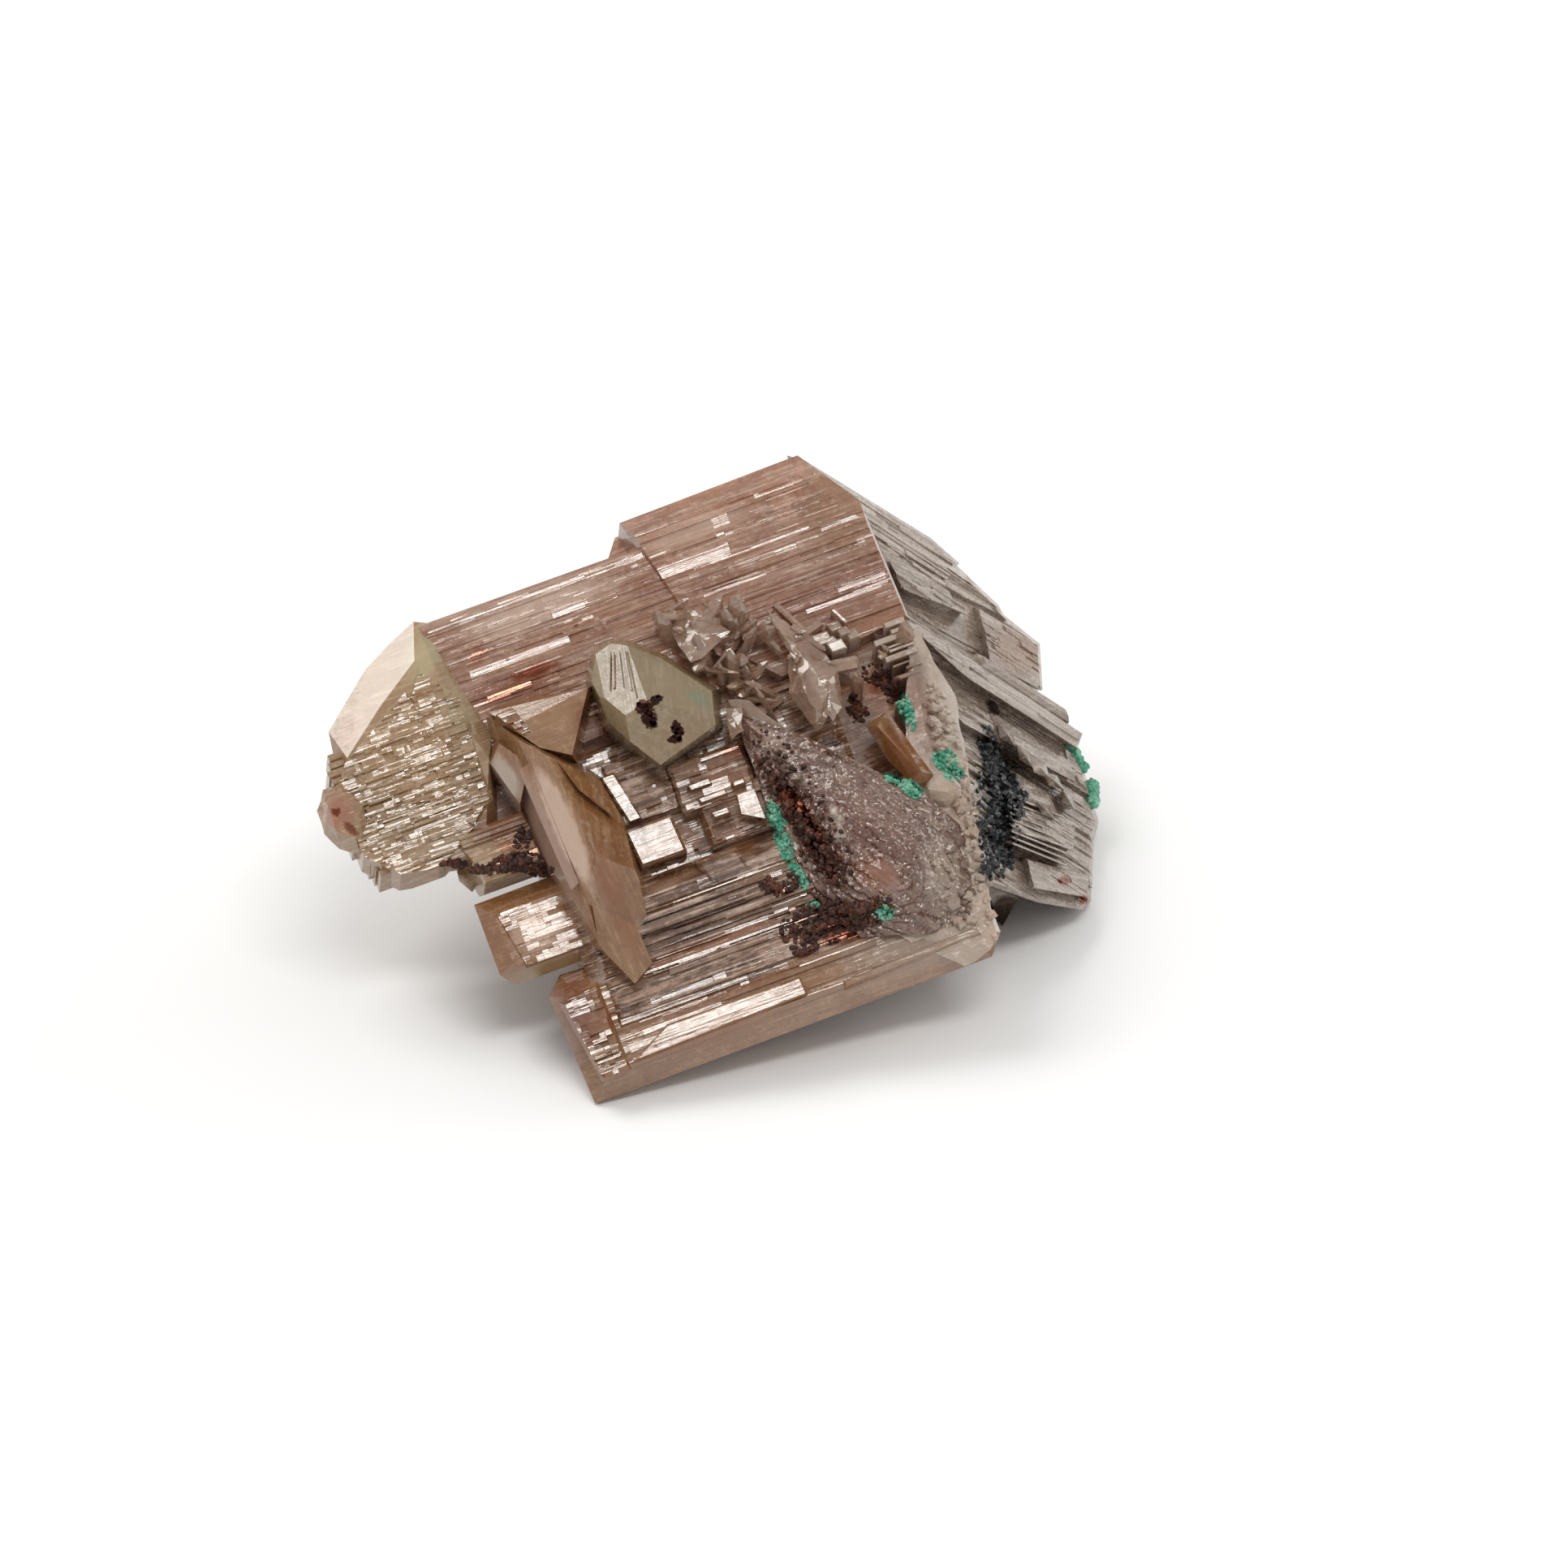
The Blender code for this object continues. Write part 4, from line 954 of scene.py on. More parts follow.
def main_meshes():
    """The striated main crystal: its block and the plates that end along its top edge."""
    upper = crystal(
        (
            (-18.4, 7.9, -1.1),
            (-9.0, 11.6, -1.1),
            (0.8, 16.4, -1.1),
            (7.1, 6.3, -1.1),
            (10.2, -4.0, -1.1),
            (-5.0, -7.2, -1.3),
            (-12.0, -4.1, -1.2),
            (-17.6, -3.2, -1.2),
        ),
        (
            (-17.5, 6.0, 3.5),
            (-12.0, 9.0, -9.3),
            (-8.0, 12.0, -10.4),
            (2.0, 16.0, -9.2),
            (8.0, 16.5, -10.4),
            (9.5, 15.5, -2.0),
            (0.5, 15.2, 9.0),
            (-8.0, 10.6, 7.5),
            (9.0, 2.0, -9.3),
        ),
    )
    high = ((-3.5, 16.15), (6.7, 16.3), (9.0, 12.9), (9.35, 6.0), (2.0, 5.2), (-1.8, 9.4))
    high_bright = (
        (5.2, 9.5, 12.4, 16.3, 0.02, 0.25),
        (-3.0, 3.5, 14.95, 15.2, 0.95, 1.0),
        (-2.3, 1.9, 14.1, 14.75, 0.8, 1.0),
        (1.9, 5.9, 14.1, 14.75, 0.35, 1.0),
        (-2.0, 1.9, 13.35, 13.75, 0.85, 1.0),
        (-1.8, 4.7, 11.85, 12.05, 0.9, 1.0),
        (1.9, 9.2, 12.0, 13.6, 0.12, 1.2),
        (-1.5, 6.0, 12.3, 12.5, 0.6, 1.0),
        (-2.0, 4.0, 10.9, 11.05, 0.5, 1.0),
        (1.0, 9.2, 9.6, 11.4, 0.14, 1.6),
        (3.2, 8.6, 8.15, 8.4, 0.9, 1.0),
        (3.4, 8.6, 8.55, 8.85, 0.9, 1.0),
        (3.8, 9.2, 7.2, 8.1, 0.0, 0.2),
    )
    left = ((-15.6, 14.65), (0.5, 14.55), (2.0, 6.0), (-15.9, 5.5))
    left_bright = (
        (-15.3, -3.0, 14.0, 14.5, 0.95, 1.0),
        (-14.8, -3.6, 13.2, 13.9, 0.75, 0.8),
        (-13.6, -5.0, 12.3, 12.9, 0.45, 1.2),
        (-5.7, 0.3, 11.85, 12.05, 0.9, 1.0),
        (-14.0, -6.0, 11.0, 12.3, 0.16, 1.4),
        (-15.5, -9.0, 9.0, 11.0, 0.2, 1.6),
        (-15.4, -13.6, 8.0, 9.6, 0.6, 1.0),
    )
    back = ((-4.0, 15.5), (2.0, 15.5), (1.0, 9.0), (-4.7, 9.0), (-4.7, 14.6))
    return [
        as_mesh(upper),
        striated(high, 0.0, 6.0, (0.95, 0.9, 0.12, 0.3, 0.1, 0.3), 0.6, 31, SILKY, 0.0, high_bright),
        striated(left, -0.3, 6.9, (0.35, 0.1, 0.1, 0.3), 0.4, 32, SILKY, 0.0, left_bright),
        flat(back, -2.8, 4.0, 0.3, 0.3),
    ]


def panel_meshes():
    """The striated panel and the blocky steps above it, on the lower half of the main face."""
    lower = crystal(
        (
            (-11.6, -2.0, -0.9),
            (9.0, 2.6, -0.9),
            (10.6, -6.8, -0.9),
            (6.0, -9.4, -0.7),
            (-6.6, -13.6, -0.6),
            (-9.6, -11.8, -0.7),
            (-10.7, -5.6, -0.9),
        ),
        ((-8.6, 3.0, -10.2), (9.0, 5.0, -9.2), (6.0, -3.5, -8.0), (-5.0, -11.5, -9.6)),
    )
    step_bright = ((-10.6, -8.6, 3.4, 5.4, 0.7, 1.0), (-9.0, -5.0, -2.3, -2.0, 0.95, 1.0))
    panel_bright = (
        (-13.0, 3.5, -10.2, -2.0, 0.05, 1.0),
        (-9.6, -5.0, -2.95, -2.6, 0.95, 1.0),
        (-9.6, -1.5, -4.6, -3.9, 0.9, 0.6),
        (-9.5, -1.5, -5.5, -5.2, 0.9, 1.0),
        (-9.5, -1.2, -6.05, -5.8, 0.9, 1.0),
        (-9.5, -2.0, -6.5, -6.2, 0.85, 1.0),
        (-9.5, -6.0, -7.15, -6.9, 0.85, 1.0),
        (-11.6, -6.6, -8.8, -7.65, 0.8, 0.5),
        (-5.2, -2.4, -8.8, -7.9, 0.85, 0.5),
        (-9.6, 3.0, -5.2, -4.6, 0.0, 1.8),
        (-9.6, 3.0, -5.8, -5.5, 0.0, 1.8),
        (-9.6, 3.0, -6.9, -6.5, 0.0, 1.6),
    )
    glints = ((-5.4, -1.0, 0.0, 2.6, 0.12, 1.0),)
    white = ((-2.6, 0.35), (-1.55, 0.35), (-1.5, -1.5), (-2.75, -0.75))
    return [
        as_mesh(lower),
        striated(((-13.0, 5.2), (4.0, 5.2), (4.0, -8.5), (-13.0, -8.5)), 0.1, 3.0, 0.5, 0.4, 41, BLOCKY, 0, step_bright),
        striated(box(-13.4, 3.2, -10.0, -2.2), 1.35, 3.0, 1.1, 1.2, 42, BOLD, 0.0, panel_bright),
        striated(box(-8.9, -5.6, 0.6, 4.2), 0.7, 2.0, 0.25, 0.3, 43, BLOCKY),
        flat(((-9.15, 3.7), (-8.35, 3.7), (-7.75, 0.85), (-8.5, 0.85)), 1.25, 2.0, 0.1, 0.2, FLASH_TIP),
        flat(((-8.9, 0.55), (-6.25, 0.55), (-6.1, -1.6), (-8.7, -1.6)), 1.5, 2.0, 0.15, 0.25, FLASH_TIP),
        striated(box(-5.6, -1.4, 0.2, 3.0), 1.2, 2.5, 0.3, 0.4, 44, BLOCKY, 0.0, glints),
        flat(box(-4.9, -3.7, 1.35, 1.7, 0.1), 1.62, 2.0, 0.05, 0.1, FLASH_TIP),
        flat(box(-4.6, -3.1, 0.55, 0.85, 0.1), 1.6, 2.0, 0.05, 0.1, FLASH_TIP),
        flat(box(-4.2, -3.3, -0.45, -0.1, 0.1), 1.55, 2.0, 0.05, 0.1, FLASH_TIP),
        striated(box(-4.8, -0.9, -2.0, 0.9), 0.9, 2.0, 0.3, 0.3, 45, BLOCKY),
        flat(white, 1.75, 2.0, 0.06, 0.1, FLASH_TIP),
        flat(box(-2.6, -1.9, 0.75, 1.1), 1.7, 2.0, 0.08, 0.1, FLASH_TIP),
        flat(box(-5.9, -3.6, -3.6, -2.3, 0.4), 1.5, 2.0, 0.2, 0.2),
    ]


def slab_meshes():
    """The long plate at the foot, with its bright bar, the groove above it and the stepped end."""
    outline = ((-15.75, -6.4), (-14.8, -5.5), (8.0, -6.5), (8.2, -11.4), (7.3, -12.5), (-15.35, -12.65))
    bar = ((-12.75, -11.25), (-10.3, -9.95), (-2.72, -9.98), (-2.66, -11.0))
    end_bright = (
        (-15.2, -13.6, -7.9, -6.1, 0.6, 1.0),
        (-15.0, -13.6, -8.6, -8.0, 0.95, 0.4),
        (-14.7, -13.5, -12.0, -9.0, 0.3, 1.0),
    )
    end = ((-15.35, -6.9), (-13.0, -6.5), (-12.9, -11.6), (-14.6, -11.7))
    edge = ((-0.6, -11.0), (6.9, -10.7), (7.2, -11.1), (-0.6, -11.3))
    return [
        as_mesh(tablet(outline, 1.0, 4.4, 1.45, 1.5, 1.5)),
        striated(((-14.2, -6.6), (7.2, -6.9), (7.4, -11.3), (-13.6, -11.5)), 1.1, 2.0, 0.35, 0.25, 51, CALM, 0.6),
        striated(bar, 1.6, 2.0, 0.1, 0.3, 53, SMOOTH, 0.0, (), FLASH_TIP),
        striated(end, 1.5, 1.5, 0.3, 0.4, 52, BLOCKY, 0.8, end_bright),
        flat(((4.0, -9.2), (6.9, -8.9), (6.9, -9.1), (4.0, -9.4)), 1.35, 1.5, 0.04, 0.1),
        flat(edge, 1.3, 1.5, 0.06, 0.1),
    ]


def block_meshes():
    """The small block on the left above the slab, with its bright speckled face."""
    outline = ((-17.82, -0.41), (-12.0, -0.35), (-12.0, -5.2), (-17.2, -5.2), (-17.8, -4.4))
    face = ((-16.9, -1.25), (-12.2, -1.2), (-12.2, -4.45), (-16.3, -4.45))
    bright = ((-17.0, -12.0, -4.6, -1.0, 0.6, 0.4),)
    return [
        as_mesh(tablet(outline, 0.4, 2.6, 0.85, 0.75, 0.85)),
        striated(face, 0.62, 2.0, 0.1, 0.15, 61, BLOCKY, 0.0, bright),
    ]


def knob_meshes():
    """The thick left end: its smooth slanting edge, its striated face, the swelling beside it and the lobe."""
    block = crystal(
        (
            (-23.4, 1.4, 0.6),
            (-21.6, 4.2, 0.6),
            (-19.8, 6.6, 0.5),
            (-18.6, 5.0, 0.7),
            (-15.8, 1.4, 0.7),
            (-16.0, -3.6, 0.5),
            (-18.5, -4.2, 0.5),
            (-20.6, -4.5, 0.4),
            (-22.2, -3.9, 0.4),
            (-19.85, 8.7, -0.6),
            (-18.9, 7.9, -0.5),
            (-21.2, 7.45, -0.55),
            (-22.45, 6.1, -0.5),
            (-24.4, 2.8, -0.5),
            (-24.1, 1.4, -0.5),
            (-23.1, -3.5, -0.6),
            (-22.4, -4.45, -0.5),
            (-20.6, -5.1, -0.6),
            (-18.5, -4.75, -0.7),
            (-15.3, -4.3, -0.9),
            (-20.0, 7.8, -4.5),
            (-23.2, 2.6, -5.2),
            (-22.6, -1.0, -5.4),
            (-19.5, -2.6, -6.5),
            (-14.5, -2.4, -8.0),
            (-15.0, 8.2, -5.0),
        )
    )
    upper = ((-17.4, 11.6), (-15.9, 6.8), (-16.2, 5.2), (-22.5, 5.6), (-22.6, 7.9), (-21.75, 9.1))
    lower = ((-22.55, 6.0), (-15.9, 6.4), (-16.2, 3.6), (-18.86, 2.05), (-20.94, 2.45), (-22.5, 4.1))
    lobe = crystal(
        (
            (-23.6, -0.4, 1.2),
            (-24.4, -1.3, 0.8),
            (-24.0, -2.5, 0.9),
            (-22.9, -2.9, 1.1),
            (-22.6, -1.2, 1.3),
            (-23.7, 0.2, 0.1),
            (-24.7, -0.4, -0.3),
            (-24.95, -1.5, -0.4),
            (-24.6, -2.7, -0.4),
            (-23.8, -3.5, -0.3),
            (-22.7, -3.8, -0.2),
            (-22.0, -2.6, 0.4),
            (-23.8, -1.0, -3.0),
            (-22.4, -2.6, -3.2),
        )
    )
    rim = crystal(
        (
            (-18.8, -2.6, -0.1),
            (-18.5, -4.3, -0.3),
            (-14.5, -4.4, -0.3),
            (-12.6, -4.9, -0.3),
            (-11.6, -3.0, -0.1),
            (-18.0, -3.4, -3.0),
            (-12.0, -3.6, -3.0),
        )
    )
    stub = crystal(
        (
            (-17.9, -3.0, -1.2),
            (-15.9, -3.0, -1.2),
            (-16.7, -5.8, -1.1),
            (-17.4, -5.2, -1.0),
            (-16.2, -5.0, -1.2),
            (-17.0, -3.4, -3.4),
        )
    )
    bright = ((-22.6, -16.0, 2.0, 11.6, 0.42, 1.0),)
    cheek = ((-16.3, 12.6), (-14.6, 10.4), (-14.9, 4.6), (-16.4, 3.4), (-17.6, 4.6), (-17.4, 11.2))
    spread = random.Random(66)
    teeth = []
    for index in range(17):
        q = 9.6 - 0.42 * index
        start = -22.5 + max(0.0, (5.0 - q) * 0.42) + max(0.0, (q - 8.6) * 0.5) + spread.uniform(-0.5, 0.0)
        teeth.append(flat(box(start, start + 2.5, q - 0.2, q + 0.2), 0.2 + spread.uniform(-0.1, 0.2), 2.0, 0.08, 0.1))
    brown_bright = ((-17.2, -14.6, 0.6, 2.6, 0.3, 1.0),)
    return [
        as_mesh(block),
        striated(upper, 0.78, 2.5, 0.06, 0.15, 62, DASHED, 0.0, bright),
        striated(lower, 0.85, 2.2, 0.06, 0.2, 63, DASHED, 0.0, bright),
        striated(cheek, 0.8, 2.5, 0.3, 0.3, 64, DASHED),
        roughened(as_mesh(lobe), 0.7, 0.12, 4.0),
        as_mesh(rim),
        striated(((-17.6, 3.4), (-13.6, 3.4), (-13.4, 0.4), (-16.9, 0.4)), 0.9, 2.5, 0.2, 0.3, 65, BOLD, 0.0, brown_bright),
        as_mesh(stub),
        *teeth,
    ]


def blade_meshes():
    """The tall blade in front on the left: a pale narrow plate between a greyish side and a brown one."""
    ridge_top = (-13.9, 1.6, 3.2)
    ridge_low = (-10.7, -5.9, 4.3)
    bulge = (-10.1, -3.8, 4.45)
    upper_right = (-12.6, 1.9, 3.3)
    body = carved(
        (-10.6, -4.0, 1.0),
        (
            (ridge_top, ridge_low, (-12.8, -3.9, 1.0)),
            (ridge_top, ridge_low, bulge),
            (upper_right, bulge, (-8.6, -1.9, 1.2)),
            (bulge, (-9.9, -9.0, 2.9), (-7.3, -7.5, 1.1)),
            (ridge_low, (-9.9, -9.0, 2.9), (-12.2, -6.4, 1.0)),
            *outline_faces(
                (
                    (-15.7, 3.5),
                    (-12.0, 1.6),
                    (-9.8, 0.2),
                    (-8.6, -1.9),
                    (-7.6, -5.1),
                    (-7.0, -9.1),
                    (-7.1, -11.1),
                    (-8.0, -10.9),
                    (-10.2, -8.7),
                    (-15.5, 0.8),
                )
            ),
            ((-15.7, 3.5, 1.6), (-15.5, 0.9, 1.2), ridge_top),
            ((-12.0, 1.6, -1.5), (-9.8, 0.2, -1.5), (-10.2, -8.7, -1.5)),
        ),
    )
    plate = crystal(
        (
            (-13.75, 1.6, 3.45),
            (-13.05, 1.75, 3.5),
            (-11.55, -0.85, 4.0),
            (-10.15, -3.85, 4.65),
            (-10.6, -5.95, 4.5),
            (-11.9, -3.0, 4.05),
            (-12.0, -1.5, 3.95),
            (-11.5, -2.0, 1.5),
            (-10.8, -4.2, 1.5),
        )
    )
    lath = crystal(
        (
            (-14.2, 0.7, 3.05),
            (-13.6, 1.2, 3.35),
            (-11.0, -5.3, 4.4),
            (-11.4, -5.7, 4.05),
            (-12.6, -2.0, 1.5),
        )
    )
    chip = crystal(
        (
            (-12.2, 1.3, 3.25),
            (-11.0, -0.3, 3.75),
            (-10.0, -0.9, 3.2),
            (-9.0, -1.9, 2.2),
            (-10.2, 0.0, 2.3),
            (-11.0, -0.5, 1.0),
        )
    )
    toe = crystal(
        (
            (-10.3, -6.4, 4.1),
            (-7.9, -7.6, 2.9),
            (-7.05, -9.6, 1.6),
            (-8.0, -10.7, 1.9),
            (-9.9, -8.7, 2.95),
            (-8.8, -8.2, 3.0),
            (-9.0, -8.5, 0.0),
        )
    )
    side = carved(
        (-14.9, 0.9, 0.8),
        (
            ((-15.7, 1.1, 1.2), (-14.9, 2.1, 1.9), (-14.1, -1.2, 1.9)),
            *outline_faces(((-15.75, 1.1), (-15.3, 2.3), (-13.4, 1.2), (-14.1, -1.4))),
            ((-14.1, -1.4, -1.2), (-15.75, 1.1, -1.2), (-14.0, 1.6, -1.2)),
        ),
    )
    return [as_mesh(shape) for shape in (body, plate, lath, chip, toe, side)]


def triangle_meshes():
    """The flat triangular crystal, with a striated patch at its left corner."""
    shape = crystal(
        (
            (-15.8, 3.85, 1.7),
            (-10.5, 5.15, 1.9),
            (-11.35, 1.55, 2.9),
            (-13.1, 1.95, 2.6),
            (-14.6, 3.0, 2.3),
            (-15.4, 4.3, -1.5),
            (-9.9, 5.4, -1.5),
            (-10.9, 0.8, -1.5),
        )
    )
    bright = ((-13.6, -11.4, 7.0, 9.4, 0.7, 1.0),)
    return [
        as_mesh(shape),
        striated(((-13.25, 8.75), (-12.3, 8.9), (-11.7, 7.2), (-12.2, 7.2)), 2.45, 1.5, 0.05, 0.1, 71, DASHED, 0, bright),
    ]


# The wedge's growth rings: how much longer than wide, their spacing and their rise
RING_STRETCH = 2.3
RING_SPACING = 0.42
RING_RISE = 0.26

PRISM_OUTLINE = (
    (-10.13, 7.0),
    (-9.3, 7.57),
    (-8.43, 7.52),
    (-6.61, 6.83),
    (-3.78, 5.04),
    (-3.65, 4.43),
    (-3.39, 3.09),
    (-6.61, 0.78),
    (-8.43, 2.04),
    (-9.61, 3.26),
    (-10.43, 5.48),
)
# The two patches of dark pits on the prism's lower faces: u, v, half length, half width, turn and number
PRISM_PITS = (
    (-7.35, 3.85, 0.75, 0.36, -62.0, 15),
    (-6.95, 4.6, 0.25, 0.14, 20.0, 4),
    (-5.75, 2.8, 0.45, 0.24, -60.0, 10),
)


def prism_meshes():
    """The yellow-green prism with its dark pits."""
    peak = (-7.3, 4.4, 3.6)
    corner = (-8.3, 2.65, 3.2)
    body = carved(
        (-7.0, 4.0, 1.0),
        (
            *outline_faces(PRISM_OUTLINE),
            ((-9.61, 6.57, 2.0), (-9.61, 4.61, 2.75), (-10.43, 5.48, 1.6)),
            (corner, (-9.61, 4.61, 2.75), (-9.61, 3.26, 1.9)),
            ((-8.43, 7.52, 1.6), peak, (-9.61, 4.61, 2.75)),
            ((-8.43, 7.52, 1.6), (-3.78, 5.04, 1.6), peak),
            (peak, corner, (-3.39, 3.09, 2.4)),
            ((-7.0, 4.0, -1.5), (-6.0, 4.0, -1.5), (-6.0, 5.0, -1.5)),
        ),
    )
    meshes = as_mesh(body)
    spread = random.Random(9)
    grooves = []
    for index in range(5):
        share = (index + 0.1 + 0.9 * spread.random()) / 5.2
        top = Vector((-9.4, 7.1, 1.75)).lerp(Vector((-8.2, 7.1, 1.9)), share)
        low = Vector((-9.5, 4.7, 2.8)).lerp(Vector((-7.5, 4.5, 3.5)), share)
        low = low.lerp(top, spread.uniform(0.0, 0.4))
        across = Vector((0.03 + 0.05 * spread.random(), 0.0, 0.0))
        depth = Vector((0.0, 0.0, 0.02 + 0.05 * spread.random()))
        grooves.append(
            as_mesh(
                crystal(
                    (
                        top - across,
                        top + across,
                        low - across,
                        low + across,
                        top + depth,
                        low + depth,
                        (top + low) / 2 - Vector((0.0, 0.0, 0.4)),
                    )
                )
            )
        )
    meshes = fused([meshes] + grooves)
    for pit in strewn(mesh_tree(meshes), PRISM_PITS, (0.12, 0.3), 9, 1, 0.4):
        meshes = combined(meshes, pit, "DIFFERENCE")
    return [meshes]


def uneven_ball(radius, finer, uneven, spread):
    """A lumpy ball of a radius in millimetres, about the origin, in metres."""
    shape = bmesh.new()
    bmesh.ops.create_icosphere(shape, subdivisions=finer, radius=radius * MM)
    for vertex in shape.verts:
        vertex.co *= 1 + spread.uniform(-uneven, uneven)
    bmesh.ops.recalc_face_normals(shape, faces=shape.faces)
    return shape


def shape_mesh(shape):
    """A mesh from a shape that is already in metres."""
    mesh = bpy.data.meshes.new("shape")
    shape.to_mesh(mesh)
    shape.free()
    return mesh


def splinter(u, v, lift, size, spread):
    """A small pointed crystal of a random lean."""
    points = []
    for corner in range(5):
        angle = corner * math.tau / 5 + spread.uniform(-0.4, 0.4)
        reach = size * spread.uniform(0.6, 1.1)
        points.append((u + reach * math.cos(angle), v + reach * math.sin(angle), lift + spread.uniform(-0.1, 0.5) * size))
    lean = (spread.uniform(-0.5, 0.5) * size, spread.uniform(-0.5, 0.5) * size)
    points.append((u + lean[0], v + lean[1], lift + size))
    points.append((u - lean[0] * 0.4, v - lean[1] * 0.4, lift + size * 0.9))
    points.append((u, v, lift - size - 1.0))
    return as_mesh(crystal(points))


def spike(u, v, lift, size, spread):
    """A small six-sided crystal that leans a random way, with a slanting end."""
    lean = Vector((spread.uniform(-1.0, 1.0), spread.uniform(-0.7, 1.0), spread.uniform(0.3, 0.8))).normalized()
    side = lean.cross(Vector((0.2, 1.0, 0.1))).normalized()
    other = lean.cross(side)
    foot = on_face(u, v, lift) - lean * size * 1.2
    radius = size * spread.uniform(0.26, 0.46)
    flatness = spread.uniform(0.35, 0.9)
    start = spread.uniform(0.0, math.tau)
    points = []
    for corner in range(6):
        angle = start + corner * math.tau / 6
        way = side * (radius * math.cos(angle)) + other * (radius * flatness * math.sin(angle))
        points.append(foot + way)
        points.append(foot + way + lean * size * (2.0 + 0.25 * math.cos(angle)))
        points.append(foot + way * 0.35 + lean * size * (2.35 + 0.15 * math.cos(angle)))
    return as_mesh(hull([seen(point) for point in points]))


# Places of the small clear crystals: u, v, half length, half width, turn in degrees and number
CLEAR_CLUSTERS = (
    (-4.6, 8.4, 2.0, 1.0, -10.0, 15),
    (-2.2, 7.6, 1.1, 1.0, -40.0, 11),
    (-2.6, 5.8, 1.4, 0.8, -30.0, 10),
    (-1.2, 4.6, 1.6, 0.5, -20.0, 6),
    (-3.9, 6.4, 0.9, 0.6, -40.0, 5),
    (0.9, 8.0, 1.2, 0.3, -55.0, 4),
    (3.4, 6.0, 1.1, 0.6, -30.0, 4),
    (5.9, 7.3, 1.0, 0.4, 20.0, 4),
)


def clear_meshes():
    """The arrowhead, the shard and the cluster of small clear crystals."""
    shard = crystal(
        (
            (-0.95, 9.35, 0.7),
            (0.1, 7.35, 1.3),
            (0.9, 6.4, 2.0),
            (2.4, 5.6, 1.9),
            (2.85, 6.1, 1.1),
            (1.7, 7.5, 0.8),
            (3.15, 4.2, 1.2),
            (2.6, 3.4, 1.5),
            (0.6, 7.0, -1.5),
            (2.2, 5.0, -1.5),
        )
    )
    arrowhead = crystal(
        (
            (0.3, 7.25, 1.4),
            (0.3, 4.9, 1.5),
            (0.9, 3.9, 1.7),
            (1.8, 2.72, 1.8),
            (2.35, 3.5, 1.8),
            (2.35, 4.9, 2.2),
            (1.3, 6.6, 2.4),
            (1.15, 4.9, 3.0),
            (1.7, 3.9, 2.7),
            (0.9, 6.6, -1.5),
            (1.9, 4.0, -1.5),
        )
    )
    needle = crystal(
        (
            (-3.1, 4.6, 1.2),
            (-1.9, 4.5, 2.1),
            (0.2, 2.9, 1.7),
            (-1.0, 3.2, 1.2),
            (-2.3, 4.0, -1.0),
            (-0.6, 3.2, -1.0),
            (-2.6, 3.7, 1.4),
        )
    )
    wedge_tip = crystal(
        (
            (-3.05, 4.0, 1.6),
            (-2.3, 4.1, 1.9),
            (-2.2, 2.9, 2.3),
            (-2.75, 2.3, 1.8),
            (-3.1, 3.2, 1.5),
            (-2.6, 3.2, -1.0),
        )
    )
    frame_plate = crystal(
        (
            (-6.2, 8.3, 0.8),
            (-5.4, 9.3, 0.7),
            (-4.2, 9.3, 0.8),
            (-2.9, 8.1, 1.1),
            (-4.4, 6.7, 1.3),
            (-5.0, 6.5, 1.2),
            (-4.6, 8.0, 1.3),
            (-5.0, 8.0, -1.5),
            (-3.6, 7.6, -1.5),
        )
    )
    meshes = [roughened(as_mesh(shape), 0.75, 0.14, 3.0) for shape in (shard, arrowhead, needle, wedge_tip)]
    meshes.append(roughened(as_mesh(frame_plate), 0.8, 0.12, 6.0))
    spread = random.Random(5)
    for u, v, long, wide, turn, number in CLEAR_CLUSTERS:
        angle = math.radians(turn)
        for index in range(number):
            right = spread.uniform(-long, long)
            up = spread.uniform(-wide, wide)
            x = u + right * math.cos(angle) - up * math.sin(angle)
            y = v + right * math.sin(angle) + up * math.cos(angle)
            meshes.append(spike(x, y, 0.3 + spread.uniform(0.0, 0.5), spread.uniform(0.6, 1.35), spread))
    for index in range(16):
        u = 0.5 + 0.1 * index + spread.uniform(-0.2, 0.2)
        v = 7.0 - 0.25 * index + spread.uniform(-0.2, 0.2)
        meshes.append(splinter(u, v, 2.0, spread.uniform(0.18, 0.36), spread))
    for p, q, across, along, tip in (
        (4.5, 6.6, 0.34, 0.45, 7.0),
        (5.35, 7.0, 0.26, 0.34, 4.0),
        (5.1, 6.0, 0.30, 0.42, 8.0),
        (6.1, 6.3, 0.30, 0.30, -3.0),
        (4.9, 6.35, 0.22, 0.3, 5.5),
        (5.7, 6.6, 0.24, 0.3, 2.0),
    ):
        corners = box(p - along, p + along, q - across, q + across, 0.15)
        meshes.append(flat(corners, 0.75 + 0.03 * tip, 3.0, 0.08, 0.1, tip))
    meshes.append(flat(((5.55, 7.9), (5.75, 7.9), (6.2, 7.0), (6.0, 7.0)), 0.9, 2.0, 0.03, 0.08, FLASH_TIP))
    return meshes


def tab_meshes():
    """The brown tab between the main face and the wedge."""
    tab = crystal(
        (
            (4.4, 3.1, 1.0),
            (5.5, 3.9, 1.2),
            (8.0, 0.5, 1.5),
            (7.3, -0.4, 1.4),
            (5.6, 1.2, 1.0),
            (5.0, 3.1, 2.0),
            (7.2, 0.7, 2.1),
            (5.5, 2.8, -1.5),
            (7.0, 0.6, -1.5),
        )
    )
    sliver = crystal(
        (
            (5.1, 3.6, 1.6),
            (5.6, 3.5, 2.0),
            (7.6, 0.3, 2.2),
            (7.2, 0.0, 1.7),
            (6.3, 2.0, 0.0),
        )
    )
    return [as_mesh(tab), as_mesh(sliver)]


